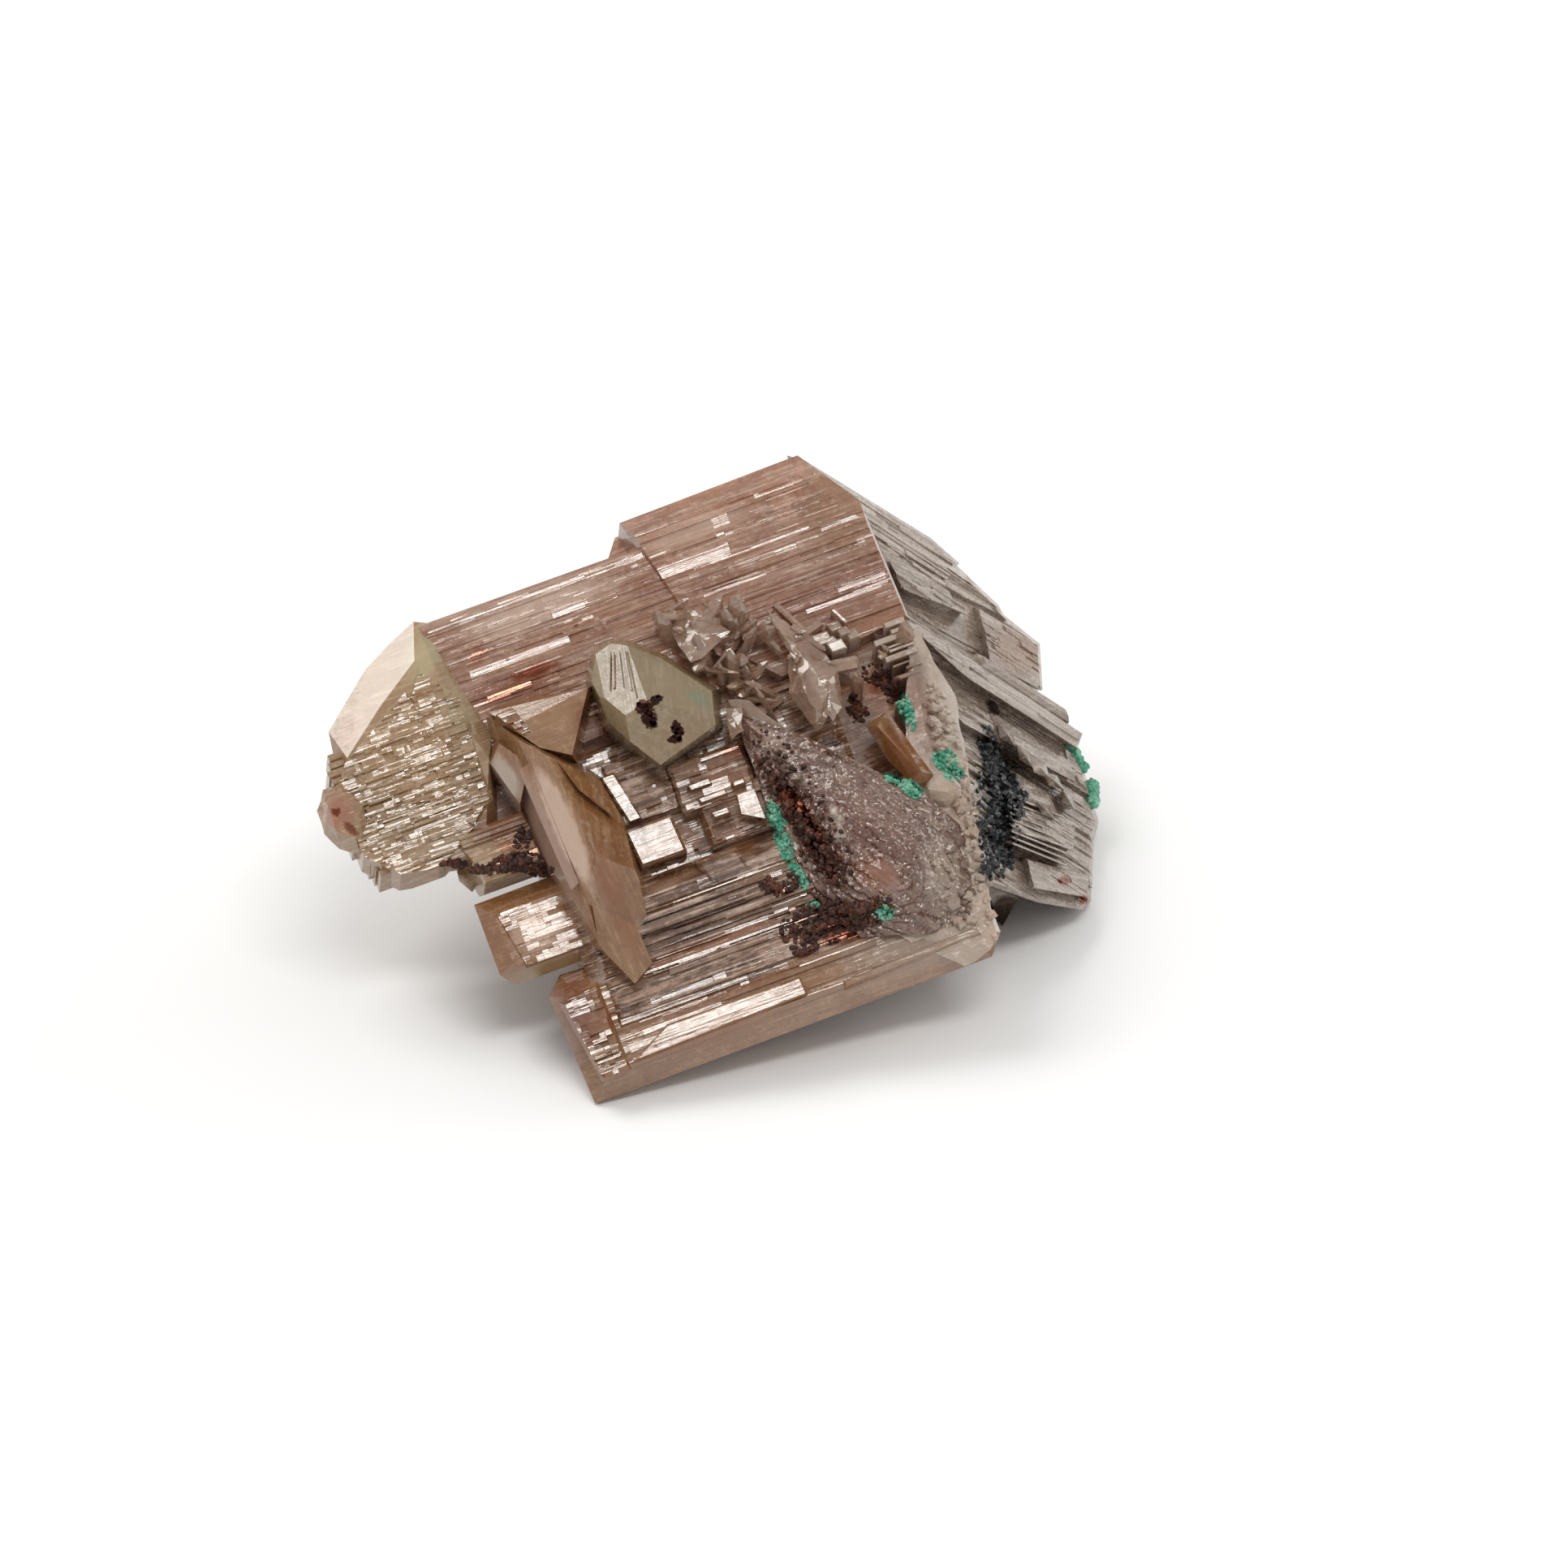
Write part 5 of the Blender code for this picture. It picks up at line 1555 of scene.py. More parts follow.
# Where small knobs of the same mineral sit on the wedge, margin and slab: u, v, half length, half width, turn, number
WEDGE_GRAINS = (
    (0.4, -0.3, 3.2, 0.9, -58.0, 60),
    (2.2, -3.6, 2.2, 0.9, -62.0, 45),
    (3.2, -6.8, 2.6, 0.6, 0.0, 30),
    (9.0, -5.6, 1.3, 2.4, 10.0, 30),
)
MARGIN_GRAINS = (
    (10.3, -3.6, 5.0, 0.6, -77.0, 100),
    (8.7, 2.6, 3.2, 0.7, -72.0, 70),
    (9.2, -6.6, 2.0, 1.0, -60.0, 40),
)


def furrowed(mesh, size):
    """The wedge's body with curved growth steps: uneven rings round its glassy end, longer towards the upper left."""
    centre = Vector((4.2, -3.6))
    turn = math.radians(-38.0)
    long_way = Vector((math.cos(turn), math.sin(turn)))
    short_way = Vector((-math.sin(turn), math.cos(turn)))
    to_drawing = FROM_DRAWING.transposed()
    towards_eye = FROM_DRAWING @ Vector((0.0, 0.0, 1.0))
    shape = finely_cut(mesh, size)
    for vertex in shape.verts:
        true = vertex.co / MM + CENTRE
        drawn = to_drawing @ true
        offset = drawn.xy - centre
        ring = math.hypot(offset.dot(long_way) / RING_STRETCH, offset.dot(short_way))
        waver = noise.noise(true * 0.5) * 0.9 + noise.noise(true * 1.7) * 0.35
        step = (ring / RING_SPACING + waver) % 1.0
        strength = 0.5 + 0.5 * noise.noise(true * 0.8 + Vector((5.0, 1.0, 2.0)))
        rise = RING_RISE * strength * (step - 0.5) + 0.14 * noise.noise(true * 2.6) + 0.06 * noise.noise(true * 6.0)
        vertex.co += towards_eye * rise * MM
    bmesh.ops.recalc_face_normals(shape, faces=shape.faces)
    return shape_mesh(shape)


def wedge_meshes():
    """The front wedge, whose face rises in curved growth ridges round a glassy end."""
    core = crystal(
        (
            (-2.7, 4.0, 1.2),
            (2.6, 1.9, 2.6),
            (8.0, -0.9, 2.3),
            (3.0, -1.6, 3.5),
            (5.6, -2.6, 3.8),
            (7.0, -4.8, 3.5),
            (4.6, -5.6, 3.4),
            (-0.8, -1.5, 1.2),
            (1.4, -5.8, 1.4),
            (4.1, -8.2, 1.3),
            (7.5, -8.0, 1.5),
            (10.0, -2.7, 1.1),
            (10.3, -5.3, 1.1),
            (10.2, -7.6, 0.9),
            (-1.5, 2.5, -1.5),
            (2.0, -5.0, -1.5),
            (9.5, -3.0, -1.5),
            (9.5, -7.0, -1.5),
        )
    )
    spread = random.Random(81)
    ridged = furrowed(as_mesh(core), 0.16)
    inner = crystal(
        (
            (3.6, -3.7, 2.9),
            (5.0, -3.3, 3.3),
            (6.6, -4.0, 3.2),
            (6.9, -5.2, 2.9),
            (6.2, -6.3, 2.6),
            (4.7, -6.4, 2.6),
            (3.6, -5.2, 2.8),
            (5.2, -4.6, 3.85),
            (5.8, -5.2, 3.7),
            (5.0, -5.0, -1.0),
        )
    )
    under = crystal(
        (
            (-2.6, 3.6, 0.7),
            (2.6, 1.5, 1.9),
            (7.6, -1.2, 1.7),
            (4.6, -5.0, 2.2),
            (-0.8, -1.5, 0.8),
            (1.4, -5.6, 1.0),
            (4.1, -8.0, 0.9),
            (9.5, -3.0, 0.8),
            (9.6, -7.4, 0.7),
            (-1.5, 2.5, -1.6),
            (2.0, -5.0, -1.6),
            (9.2, -3.0, -1.6),
            (9.2, -7.0, -1.6),
        )
    )
    meshes = [ridged, roughened(as_mesh(inner), 0.8, 0.12, 8.0), roughened(as_mesh(under), 0.8, 0.12, 5.0)]
    for index in range(20):
        share = index / 19
        u = 0.2 + 2.4 * share + spread.uniform(-0.4, 0.4)
        v = -0.6 - 3.6 * share + spread.uniform(-0.4, 0.4)
        meshes.append(splinter(u, v, 2.0 + 0.5 * share, spread.uniform(0.35, 0.65), spread))
    meshes.append(splinter(2.75, -1.5, 3.2, 0.55, spread))
    meshes.append(splinter(3.0, -2.4, 3.3, 0.6, spread))
    whole = fused(meshes)
    return [whole] + strewn(mesh_tree(whole), WEDGE_GRAINS, (0.14, 0.42), 83, 1, 0.3, 0.5)


def margin_meshes():
    """The frosted margin on the right, with the small staircase of ridges above it."""
    margin = crystal(
        (
            (7.0, 8.5, 0.3),
            (6.7, 7.6, 0.7),
            (8.3, -1.4, 1.7),
            (6.6, -6.6, 1.6),
            (6.0, -8.0, 1.2),
            (9.2, 4.7, 0.2),
            (9.6, 1.6, 0.8),
            (10.2, -2.4, 1.3),
            (10.75, -5.2, 1.2),
            (11.4, -8.2, 0.9),
            (11.1, -8.9, 0.9),
            (9.6, -9.8, 0.7),
            (7.0, 6.6, -2.5),
            (8.2, 1.0, -3.5),
            (10.0, -4.0, -3.0),
            (10.8, -8.4, -2.0),
        )
    )
    meshes = [roughened(as_mesh(margin), 0.6, 0.16, 7.0, 1.1)]
    spread = random.Random(77)
    q = 6.1
    while q > -0.4:
        wide = spread.uniform(0.07, 0.17)
        p_end = 8.9 + 0.05 * q + spread.uniform(-0.25, 0.1)
        p_start = p_end - spread.uniform(0.8, 2.1)
        height = 0.75 + 0.02 * q + spread.uniform(-0.12, 0.12)
        tip = FLASH_TIP if spread.random() < 0.3 else spread.uniform(-14.0, 3.0)
        meshes.append(flat(box(p_start, p_end, q - wide, q + wide), height, 2.5, 0.04, 0.08, tip))
        q -= 2 * wide + spread.uniform(0.04, 0.22)
    nodule = uneven_ball(1.0, 2, 0.08, spread)
    nodule.transform(Matrix.Scale(1 / MM, 4))
    nodule.transform(Matrix.Translation(seen(on_face(8.5, -0.45, 1.35))))
    meshes.append(as_mesh(nodule))
    for u, v, size in (
        (9.3, -1.1, 0.5),
        (8.9, -3.2, 0.35),
        (9.7, -4.2, 0.3),
        (9.9, -2.1, 0.4),
        (8.4, -2.0, 0.4),
        (9.0, -5.1, 0.35),
        (8.2, -6.2, 0.3),
        (9.9, -6.0, 0.3),
        (7.8, -7.2, 0.35),
        (8.2, 3.1, 0.45),
        (8.6, 2.1, 0.5),
        (8.0, 4.1, 0.4),
        (9.2, 1.1, 0.45),
        (9.0, 0.2, 0.45),
    ):
        meshes.append(splinter(u, v, 1.35 - 0.06 * max(0.0, v), size, spread))
    whole = fused(meshes)
    return [whole] + strewn(mesh_tree(whole), MARGIN_GRAINS, (0.12, 0.36), 84, 1, 0.3, 0.5)


WING_TABLETS = (
    (((1.1, 17.35), (2.3, 16.6), (7.87, 13.17), (9.39, 11.83), (8.4, 10.9), (1.9, 15.2)), 0.0, 2.2),
    (((2.9, 15.5), (9.0, 11.7), (10.1, 10.9), (11.5, 9.57), (11.96, 8.74), (4.0, 12.7)), 0.3, 2.4),
    (((3.0, 13.6), (11.6, 9.2), (13.7, 7.52), (13.85, 5.04), (4.2, 10.2)), -0.15, 2.4),
    (((5.2, 10.2), (9.3, 7.2), (14.0, 4.3), (15.09, 3.65), (15.4, 2.8), (7.2, 7.0)), 0.45, 3.2),
    (((4.4, 8.8), (15.2, 3.0), (16.04, 0.83), (16.5, -0.8), (6.6, 4.6)), 0.05, 3.4),
    (((5.6, 6.4), (16.2, 0.3), (16.85, -2.04), (16.5, -3.4), (8.0, 1.6)), -0.25, 3.6),
    (((6.5, 3.6), (16.6, -2.5), (16.5, -5.6), (9.2, -1.8)), -0.05, 3.4),
    (((8.0, 0.6), (16.4, -4.2), (16.45, -6.26), (15.96, -6.75), (13.61, -6.35), (10.6, -5.3)), -0.4, 2.4),
)
# Ledges that stand out of the wing: outline (u, v), height out of its face and thickness
WING_LEDGES = (
    (((10.45, 9.4), (13.6, 7.45), (13.8, 5.0), (11.1, 6.45)), 0.55, 1.6),
    (((6.2, 8.9), (7.2, 8.6), (16.0, 2.7), (15.7, 1.9), (9.9, 5.6)), 0.95, 1.6),
    (((3.4, 15.3), (7.2, 12.8), (9.1, 11.3), (8.7, 10.9), (4.2, 13.7)), 0.3, 1.5),
    (((5.6, 12.0), (9.6, 9.6), (9.9, 9.0), (6.4, 10.4)), 0.75, 1.5),
    (((8.6, 4.6), (14.6, 1.4), (15.4, 0.2), (9.6, 3.2)), 0.55, 1.5),
    (((12.6, -1.2), (15.6, -2.3), (15.5, -3.6), (12.2, -2.5)), 0.6, 1.5),
    (((13.0, -4.0), (16.3, -4.9), (16.3, -6.1), (13.4, -5.6)), 0.3, 1.5),
)


# Plain plates under the others, which close the gaps between their ends: outline (u, v), height and thickness
WING_BASES = (
    (((1.1, 17.2), (7.8, 13.1), (10.0, 11.0), (11.6, 8.9), (13.0, 6.0), (6.0, 8.0), (2.0, 14.0)), -0.08, 2.0),
    (((6.0, 11.0), (11.7, 8.9), (13.55, 7.45), (13.7, 5.1), (12.0, 3.4), (8.0, 4.6)), -0.45, 2.0),
    (((6.0, 9.6), (13.0, 5.3), (14.95, 3.6), (15.85, 0.8), (16.5, -2.1), (16.3, -6.0), (13.6, -6.1), (9.6, -4.4)), -0.55, 2.2),
)


def wing_plate(along_from, along_to, down_from, down_to, out, thick, rim=0.3, slant=0.0):
    """A plate of the wing, with bevelled edges; slant moves its lower edge further along."""
    points = []
    middle_along = (along_from + along_to + slant) / 2
    middle_down = (down_from + down_to) / 2
    for along, down in (
        (along_from, down_from),
        (along_to, down_from),
        (along_to + slant, down_to),
        (along_from + slant, down_to),
    ):
        inner_along = along + math.copysign(rim, middle_along - along)
        inner_down = down + math.copysign(rim, middle_down - down)
        points.append(on_wing(inner_along, inner_down, out))
        points.append(on_wing(along, down, out - rim))
        points.append(on_wing(along, down, out - thick))
    return as_mesh(hull([seen(point) for point in points]))


def wing_meshes():
    """The second individual: plates that run down to the right from the ridge, stepped at their ends."""
    meshes = [
        wing_plate(9.4, 17.2, 8.5, 9.3, 1.0, 2.0, 0.2),
        wing_plate(3.0, 9.6, 4.4, 5.4, 0.75, 2.0, 0.2),
        wing_plate(9.6, 16.4, 11.8, 13.0, 0.35, 2.0, 0.25),
        wing_plate(9.0, 12.4, 15.6, 17.4, 0.3, 2.0, 0.25),
    ]
    for corners, out, thick in WING_BASES:
        meshes.append(as_mesh(wing_tablet(corners, out, thick)))
    for index, (corners, out, thick) in enumerate(WING_TABLETS):
        meshes.append(striated_wing(corners, out, thick, 0.25, 0.3, 70 + index, PLATY))
    for index, (corners, out, thick) in enumerate(WING_LEDGES):
        meshes.append(striated_wing(corners, out, thick, 0.06, 0.15, 90 + index, CALM))
    spread = random.Random(12)
    for u, v, long, wide, turn in (
        (13.7, 0.9, 0.9, 0.4, -50.0),
        (14.4, 0.2, 0.8, 0.35, -40.0),
        (12.9, 1.5, 0.8, 0.35, -55.0),
        (15.2, -0.8, 0.7, 0.35, -60.0),
        (14.0, -1.4, 0.7, 0.3, -45.0),
        (11.9, 2.7, 0.9, 0.4, -55.0),
    ):
        points = []
        angle = math.radians(turn)
        for right, up, out in ((-1, 0, 0.6), (1, 0, 0.6), (0, -1, 0.7), (0, 1, 0.7), (0.1, 0.1, 1.15), (0, 0, -1.0)):
            x = u + right * long * math.cos(angle) - up * wide * math.sin(angle)
            y = v + right * long * math.sin(angle) + up * wide * math.cos(angle)
            points.append(seen(on_wing_face(x, y, out + spread.uniform(0.0, 0.15))))
        meshes.append(as_mesh(hull(points)))
    for index in range(9):
        share = index / 8
        corners = (
            (12.0 + 0.25 * share, -0.5 - 2.6 * share),
            (15.0 + 0.2 * share, -1.7 - 2.6 * share),
            (15.0 + 0.2 * share, -1.84 - 2.6 * share),
            (12.0 + 0.25 * share, -0.64 - 2.6 * share),
        )
        meshes.append(as_mesh(wing_tablet(corners, 0.65, 1.2, 0.02, 0.06)))
    fill = hull(
        [seen(on_wing(0.5, 1.5, -2.0)), seen(on_wing(13.0, 3.0, -2.5)), seen(on_wing(15.5, 12.0, -3.0))]
        + [seen(on_wing(9.0, 17.0, -2.5)), seen(on_wing(2.0, 20.0, -2.0)), seen(on_wing(0.5, 19.0, -1.5))]
        + [Vector((6.0, 16.5, -8.6)), Vector((12.0, 13.0, -9.2)), Vector((11.4, 8.0, -8.8)), Vector((2.0, 8.0, -9.0))]
    )
    right = hull(
        [Vector((12.0, 1.9, -9.85)), Vector((11.0, 4.6, -9.85)), Vector((12.6, 5.2, -9.85)), Vector((10.6, 1.0, -6.0))]
        + [Vector((13.3, 2.4, -7.4)), Vector((13.0, 7.0, -5.0)), Vector((9.0, 6.0, -4.0)), Vector((10.4, 2.6, -8.0))]
    )
    return meshes + [as_mesh(fill), as_mesh(right)]


def rear_meshes():
    """The stepped plates on the back, and the rear foot."""
    foot = hull(
        [Vector((-12.4, 7.8, -9.85)), Vector((-8.6, 7.2, -9.85)), Vector((-7.4, 11.4, -9.85))]
        + [Vector((-11.4, 11.2, -9.85)), Vector((-13.6, 6.4, -4.0)), Vector((-6.0, 6.0, -4.0))]
        + [Vector((-6.0, 12.0, -4.0)), Vector((-13.0, 10.0, -2.0))]
    )
    return [
        as_mesh(tablet(((-13.0, 13.4), (4.0, 13.9), (4.0, 2.0), (-12.0, 2.0)), -4.6, 4.6, 0.5, 0.5)),
        as_mesh(tablet(((-10.0, 12.2), (6.4, 12.8), (6.0, 0.0), (-9.0, 0.0)), -8.0, 3.6, 0.5, 0.5)),
        as_mesh(tablet(((-14.4, 9.8), (-4.0, 9.8), (-4.0, 0.0), (-13.4, 0.0)), -6.4, 3.6, 0.4, 0.4)),
        as_mesh(foot),
    ]


def sight():
    """The finished crystals as one search tree, for the growths that sit on them."""
    corners = []
    faces = []
    for made in GROWN:
        start = len(corners)
        corners.extend(vertex.co.copy() for vertex in made.data.vertices)
        faces.extend([start + index for index in face.vertices] for face in made.data.polygons)
    return BVHTree.FromPolygons(corners, faces)


def strewn(tree, patches, sizes, seed, finer, uneven, pile=0.5, kind="ball"):
    """Grains over oval patches of the crystals, given as (u, v, long, wide, turn, number)."""
    spread = random.Random(seed)
    meshes = []
    for u, v, long, wide, turn, number in patches:
        angle = math.radians(turn)
        for index in range(number):
            reach = spread.random() ** 0.6
            way = spread.uniform(0.0, math.tau)
            right = long * reach * math.cos(way)
            up = wide * reach * math.sin(way)
            x = u + right * math.cos(angle) - up * math.sin(angle)
            y = v + right * math.sin(angle) + up * math.cos(angle)
            place, normal = seen_on(tree, x, y)
            size = (sizes[0] + (sizes[1] - sizes[0]) * spread.random() ** 1.6) * (1.15 - 0.4 * reach)
            rise = spread.uniform(-0.4, pile) * size * 2.0 * (1.0 - reach)
            if place is None:
                continue
            if kind == "cube":
                shape = bmesh.new()
                bmesh.ops.create_cube(shape, size=size * 1.6 * MM)
            else:
                shape = uneven_ball(size, finer, uneven, spread)
            lean = Vector((spread.uniform(-1, 1), spread.uniform(-1, 1), spread.uniform(-1, 1)))
            shape.transform(Matrix.Translation(place + normal * rise * MM) @ lean.to_track_quat("Z", "Y").to_matrix().to_4x4())
            meshes.append(shape_mesh(shape))
    return meshes


def studded(node, count, sizes, seed, finer, uneven):
    """Grains over a solid, which stays as their core."""
    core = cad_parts[node].data.copy()
    spread = random.Random(seed)
    meshes = [core]
    weights = [face.area for face in core.polygons]
    for face in spread.choices(list(core.polygons), weights, k=count):
        corners = [core.vertices[index].co for index in face.vertices]
        shares = [spread.random() for corner in corners]
        place = sum((corner * share for corner, share in zip(corners, shares)), Vector()) / sum(shares)
        size = spread.uniform(*sizes)
        shape = uneven_ball(size, finer, uneven, spread)
        shape.transform(Matrix.Translation(place - face.normal * size * 0.3 * MM))
        meshes.append(shape_mesh(shape))
    return meshes


# Tones of each kind of cerussite: body, pale, deep and inside
PINK = ("pink", "pink_pale", "pink_deep", "pink_inside")
PANEL = ("panel", "pink_pale", "panel_deep_and_shade", "pink_inside")
HONEY = ("honey", "honey_pale", "honey_deep", "honey_inside")
AMBER = ("amber", "amber_pale", "amber_deep", "amber_inside")
ASH = ("ash", "ash_pale", "ash_deep", "ash_inside")
ICE = ("ice", "ice_pale", "ice_deep", "ice_inside")
PLUM = ("plum", "plum_pale", "panel_deep_and_shade", "pink_inside")
FROST = ("frost", "ice_pale", "ice", "ice_inside")
OLIVE = ("olive", "olive_pale", "olive_deep", "olive_inside")

# Patches of growth: u, v, half length, half width, turn in degrees and number of grains
MALACHITE_PATCHES = {
    "malachite_ridge_tuft": ((6.5, 4.0, 1.25, 0.38, -67.0, 170),),
    "malachite_pocket_tuft": ((8.6, 1.3, 0.7, 0.6, 0.0, 130), (9.1, 0.6, 0.6, 0.45, 0.0, 90)),
    "malachite_ledge_tuft": ((5.8, 0.25, 0.5, 0.3, -30.0, 60), (6.8, -0.25, 0.75, 0.4, -35.0, 110)),
    "malachite_string": (
        (-0.45, -1.7, 0.9, 0.45, -70.0, 130),
        (0.0, -3.2, 1.0, 0.45, -70.0, 130),
        (0.8, -4.9, 0.9, 0.32, -60.0, 90),
        (1.5, -6.5, 0.35, 0.25, 0.0, 30),
    ),
    "malachite_toe_tuft": ((5.3, -6.9, 0.6, 0.45, 0.0, 80),),
    "malachite_rim_tuft": (),
    "malachite_ball": (),
}
OXIDE_PATCHES = {
    "iron_oxide_crust": (
        (1.8, -7.3, 2.3, 1.0, 20.0, 260),
        (4.2, -6.9, 1.7, 0.7, 20.0, 140),
        (1.2, -8.8, 0.8, 0.35, 20.0, 45),
        (-0.5, -5.5, 0.8, 0.5, -10.0, 60),
        (0.6, -5.2, 0.5, 0.5, 0.0, 30),
        (0.4, -0.2, 3.6, 1.3, -58.0, 90),
        (2.2, -3.6, 2.6, 1.3, -62.0, 90),
        (1.0, -2.4, 4.2, 0.45, -58.0, 90),
        (3.0, -7.7, 3.0, 0.6, 20.0, 110),
        (3.9, 4.0, 0.85, 0.5, -75.0, 90),
        (5.0, 5.8, 0.95, 0.6, -20.0, 70),
        (5.8, 5.2, 0.6, 0.5, 0.0, 50),
        (6.0, 4.7, 0.5, 0.4, 0.0, 30),
    ),
    "iron_oxide_fringe": (
        (-17.6, -4.25, 0.9, 0.22, 0.0, 70),
        (-16.0, -4.6, 1.0, 0.25, 0.0, 80),
        (-14.3, -4.2, 1.5, 0.55, 5.0, 200),
        (-13.0, -4.6, 0.7, 0.4, 0.0, 80),
        (-14.0, -2.9, 0.7, 0.5, 60.0, 40),
    ),
}
ORE_PATCHES = (
    (11.5, -1.4, 2.8, 1.1, -80.0, 150),
    (11.0, 1.9, 1.3, 0.55, -75.0, 90),
    (11.8, -0.4, 1.9, 0.85, -70.0, 190),
    (11.2, -2.6, 1.2, 0.9, 80.0, 120),
    (11.4, -4.1, 1.1, 0.85, 60.0, 120),
    (12.6, -0.6, 0.7, 0.4, -60.0, 24),
)

MAIN_SPOTS = (
    ("pink_pale", 0.45, -4.9, 13.6, 4.6, 1.2, 20.0, 0.7),
    # Painted highlight along the upper left edge of the main face
    ("pink_pale", 0.75, -13.2, 9.4, 6.5, 1.4, 20.0, 0.8),
    ("amber", 0.5, 2.8, 14.4, 3.2, 2.2, -60.0, 0.6),
    ("pink_deep", 0.30, 1.6, 9.2, 6.5, 2.2, 18.0, 0.7),
    ("rust_stain_and_shade", 0.6, -14.3, 5.2, 4.0, 1.5, 20.0, 0.8),
    ("rust_stain_and_shade", 0.9, -13.4, 6.0, 1.8, 0.35, 20.0, 0.6),
    ("rust_stain_and_shade", 0.5, -16.4, 7.0, 1.0, 0.7, 60.0, 0.8),
    ("brown", 0.6, 4.5, 8.6, 3.4, 0.5, 20.0, 0.5),
    ("rust_stain_and_shade", 0.7, 5.0, 5.4, 1.6, 1.4, 0.0, 0.9),
    # Painted shade in the gap between the prism and the blade
    ("rust_stain_and_shade", 0.55, -9.4, 3.6, 1.6, 1.3, -60.0, 0.7),
    ("panel_deep_and_shade", 0.5, 4.2, 3.0, 2.6, 1.6, -30.0, 0.8),
)
MAIN_STRIPES = (
    ("pink_deep", 0.9, 1.0, 7.2, 9.3, 0.12),
    ("pink_deep", 0.9, 2.5, 7.6, 9.7, 0.10),
    ("pink_deep", 0.8, 2.0, 8.4, 8.95, 0.10),
    ("pink_deep", 0.8, 3.0, 8.4, 8.47, 0.08),
    ("pink_deep", 0.6, -0.5, 8.0, 10.2, 0.10),
    ("rust_stain_and_shade", 0.8, 5.2, 9.2, 12.28, 0.12),
    ("rust_stain_and_shade", 0.6, -0.4, 1.8, 11.08, 0.12),
    ("pink_deep", 0.5, -14.0, 2.0, 12.5, 0.10),
    ("pink_deep", 0.5, -15.0, -3.0, 11.3, 0.14),
    ("rust_stain_and_shade", 0.6, -15.5, -6.0, 10.4, 0.16),
    ("rust_stain_and_shade", 0.5, -15.5, -9.0, 9.5, 0.12),
)
PANEL_SPOTS = (
    # Brown spots on the panel: partly its own colour, partly a painted glow of light through the glassy crystal
    ("brown", 0.6, -3.6, 0.2, 2.8, 1.8, 0.0, 0.8),
    ("panel_deep_and_shade", 0.45, -4.6, -0.4, 1.3, 1.0, 0.0, 0.8),
    ("brown", 0.75, -4.4, -8.7, 6.5, 0.5, 20.0, 0.6),
    ("rust_stain_and_shade", 0.8, 3.0, -7.8, 3.4, 1.0, 15.0, 0.7),
    ("rust_dark_and_shade", 0.7, 1.8, -7.6, 1.9, 0.8, 20.0, 0.9),
    ("brown", 0.5, -6.0, -3.2, 3.6, 0.9, 20.0, 0.8),
    ("brown", 0.5, -2.4, -3.0, 1.6, 1.2, 0.0, 0.8),
    ("rust_stain_and_shade", 0.7, -2.2, 1.8, 1.8, 0.7, 10.0, 0.9),
    # Painted shade: dark patches in the gaps between the prism, the blade and the steps
    ("panel_deep_and_shade", 0.8, -6.9, 0.4, 1.3, 0.6, -30.0, 0.9),
    ("panel_deep_and_shade", 0.8, -9.0, 2.8, 1.4, 0.9, -60.0, 0.9),
    ("panel_deep_and_shade", 0.7, -7.7, -2.6, 0.6, 1.6, 20.0, 0.8),
    ("panel_deep_and_shade", 0.6, -1.3, -2.8, 1.5, 1.0, -60.0, 0.9),
    # Painted shade: thin dark lines in the grooves between the panel's steps
    ("panel_deep_and_shade", 0.6, -3.2, -4.4, 4.2, 0.30, 20.0, 0.8),
    ("panel_deep_and_shade", 0.8, -4.2, -5.3, 5.0, 0.16, 20.0, 0.6),
    ("panel_deep_and_shade", 0.8, -4.0, -6.2, 5.2, 0.14, 20.0, 0.6),
    ("panel_deep_and_shade", 0.8, -4.0, -7.0, 5.2, 0.16, 20.0, 0.6),
    ("panel_deep_and_shade", 0.7, -3.4, -7.6, 5.0, 0.14, 20.0, 0.6),
    ("rust_dark_and_shade", 0.8, -0.2, -5.6, 1.3, 0.6, -20.0, 0.9),
    ("rust_dark_and_shade", 0.9, 2.2, -6.6, 2.6, 0.9, 15.0, 0.9),
    ("rust_stain_and_shade", 0.7, 4.6, -8.0, 2.0, 0.6, 20.0, 0.9),
)
SLAB_SPOTS = (
    ("lilac", 0.75, -11.9, -12.6, 0.8, 3.4, 20.0, 0.6),
    ("pink_deep", 0.7, -11.0, -12.0, 1.6, 3.2, 20.0, 0.8),
    # Brown spots on the slab: partly its own orange-brown, partly a painted glow of light through its glassy lower
    # edge
    ("brown", 0.5, -9.0, -11.6, 1.1, 2.4, -20.0, 0.7),
    ("brown", 0.65, -3.0, -11.1, 6.5, 0.42, 20.0, 0.6),
    # Painted highlight along the slab's bright bar
    ("pink_pale", 0.6, -3.3, -12.4, 4.8, 0.5, 18.0, 0.5),
    ("brown", 0.6, -4.4, -13.6, 7.0, 0.6, 20.0, 0.7),
    ("frost", 0.75, 7.0, -8.2, 6.0, 2.6, 22.0, 0.9),
    ("frost", 0.8, 10.4, -7.4, 2.4, 2.0, 22.0, 0.6),
)
BLOCK_SPOTS = (
    ("brown", 0.25, -15.6, -7.8, 0.6, 2.4, 18.0, 0.5),
    ("olive", 0.8, -12.8, -9.9, 2.6, 0.5, 20.0, 0.6),
    # Painted highlight on the small block's bright face
    ("pink_pale", 0.5, -13.2, -8.0, 2.0, 1.4, 20.0, 0.6),
)
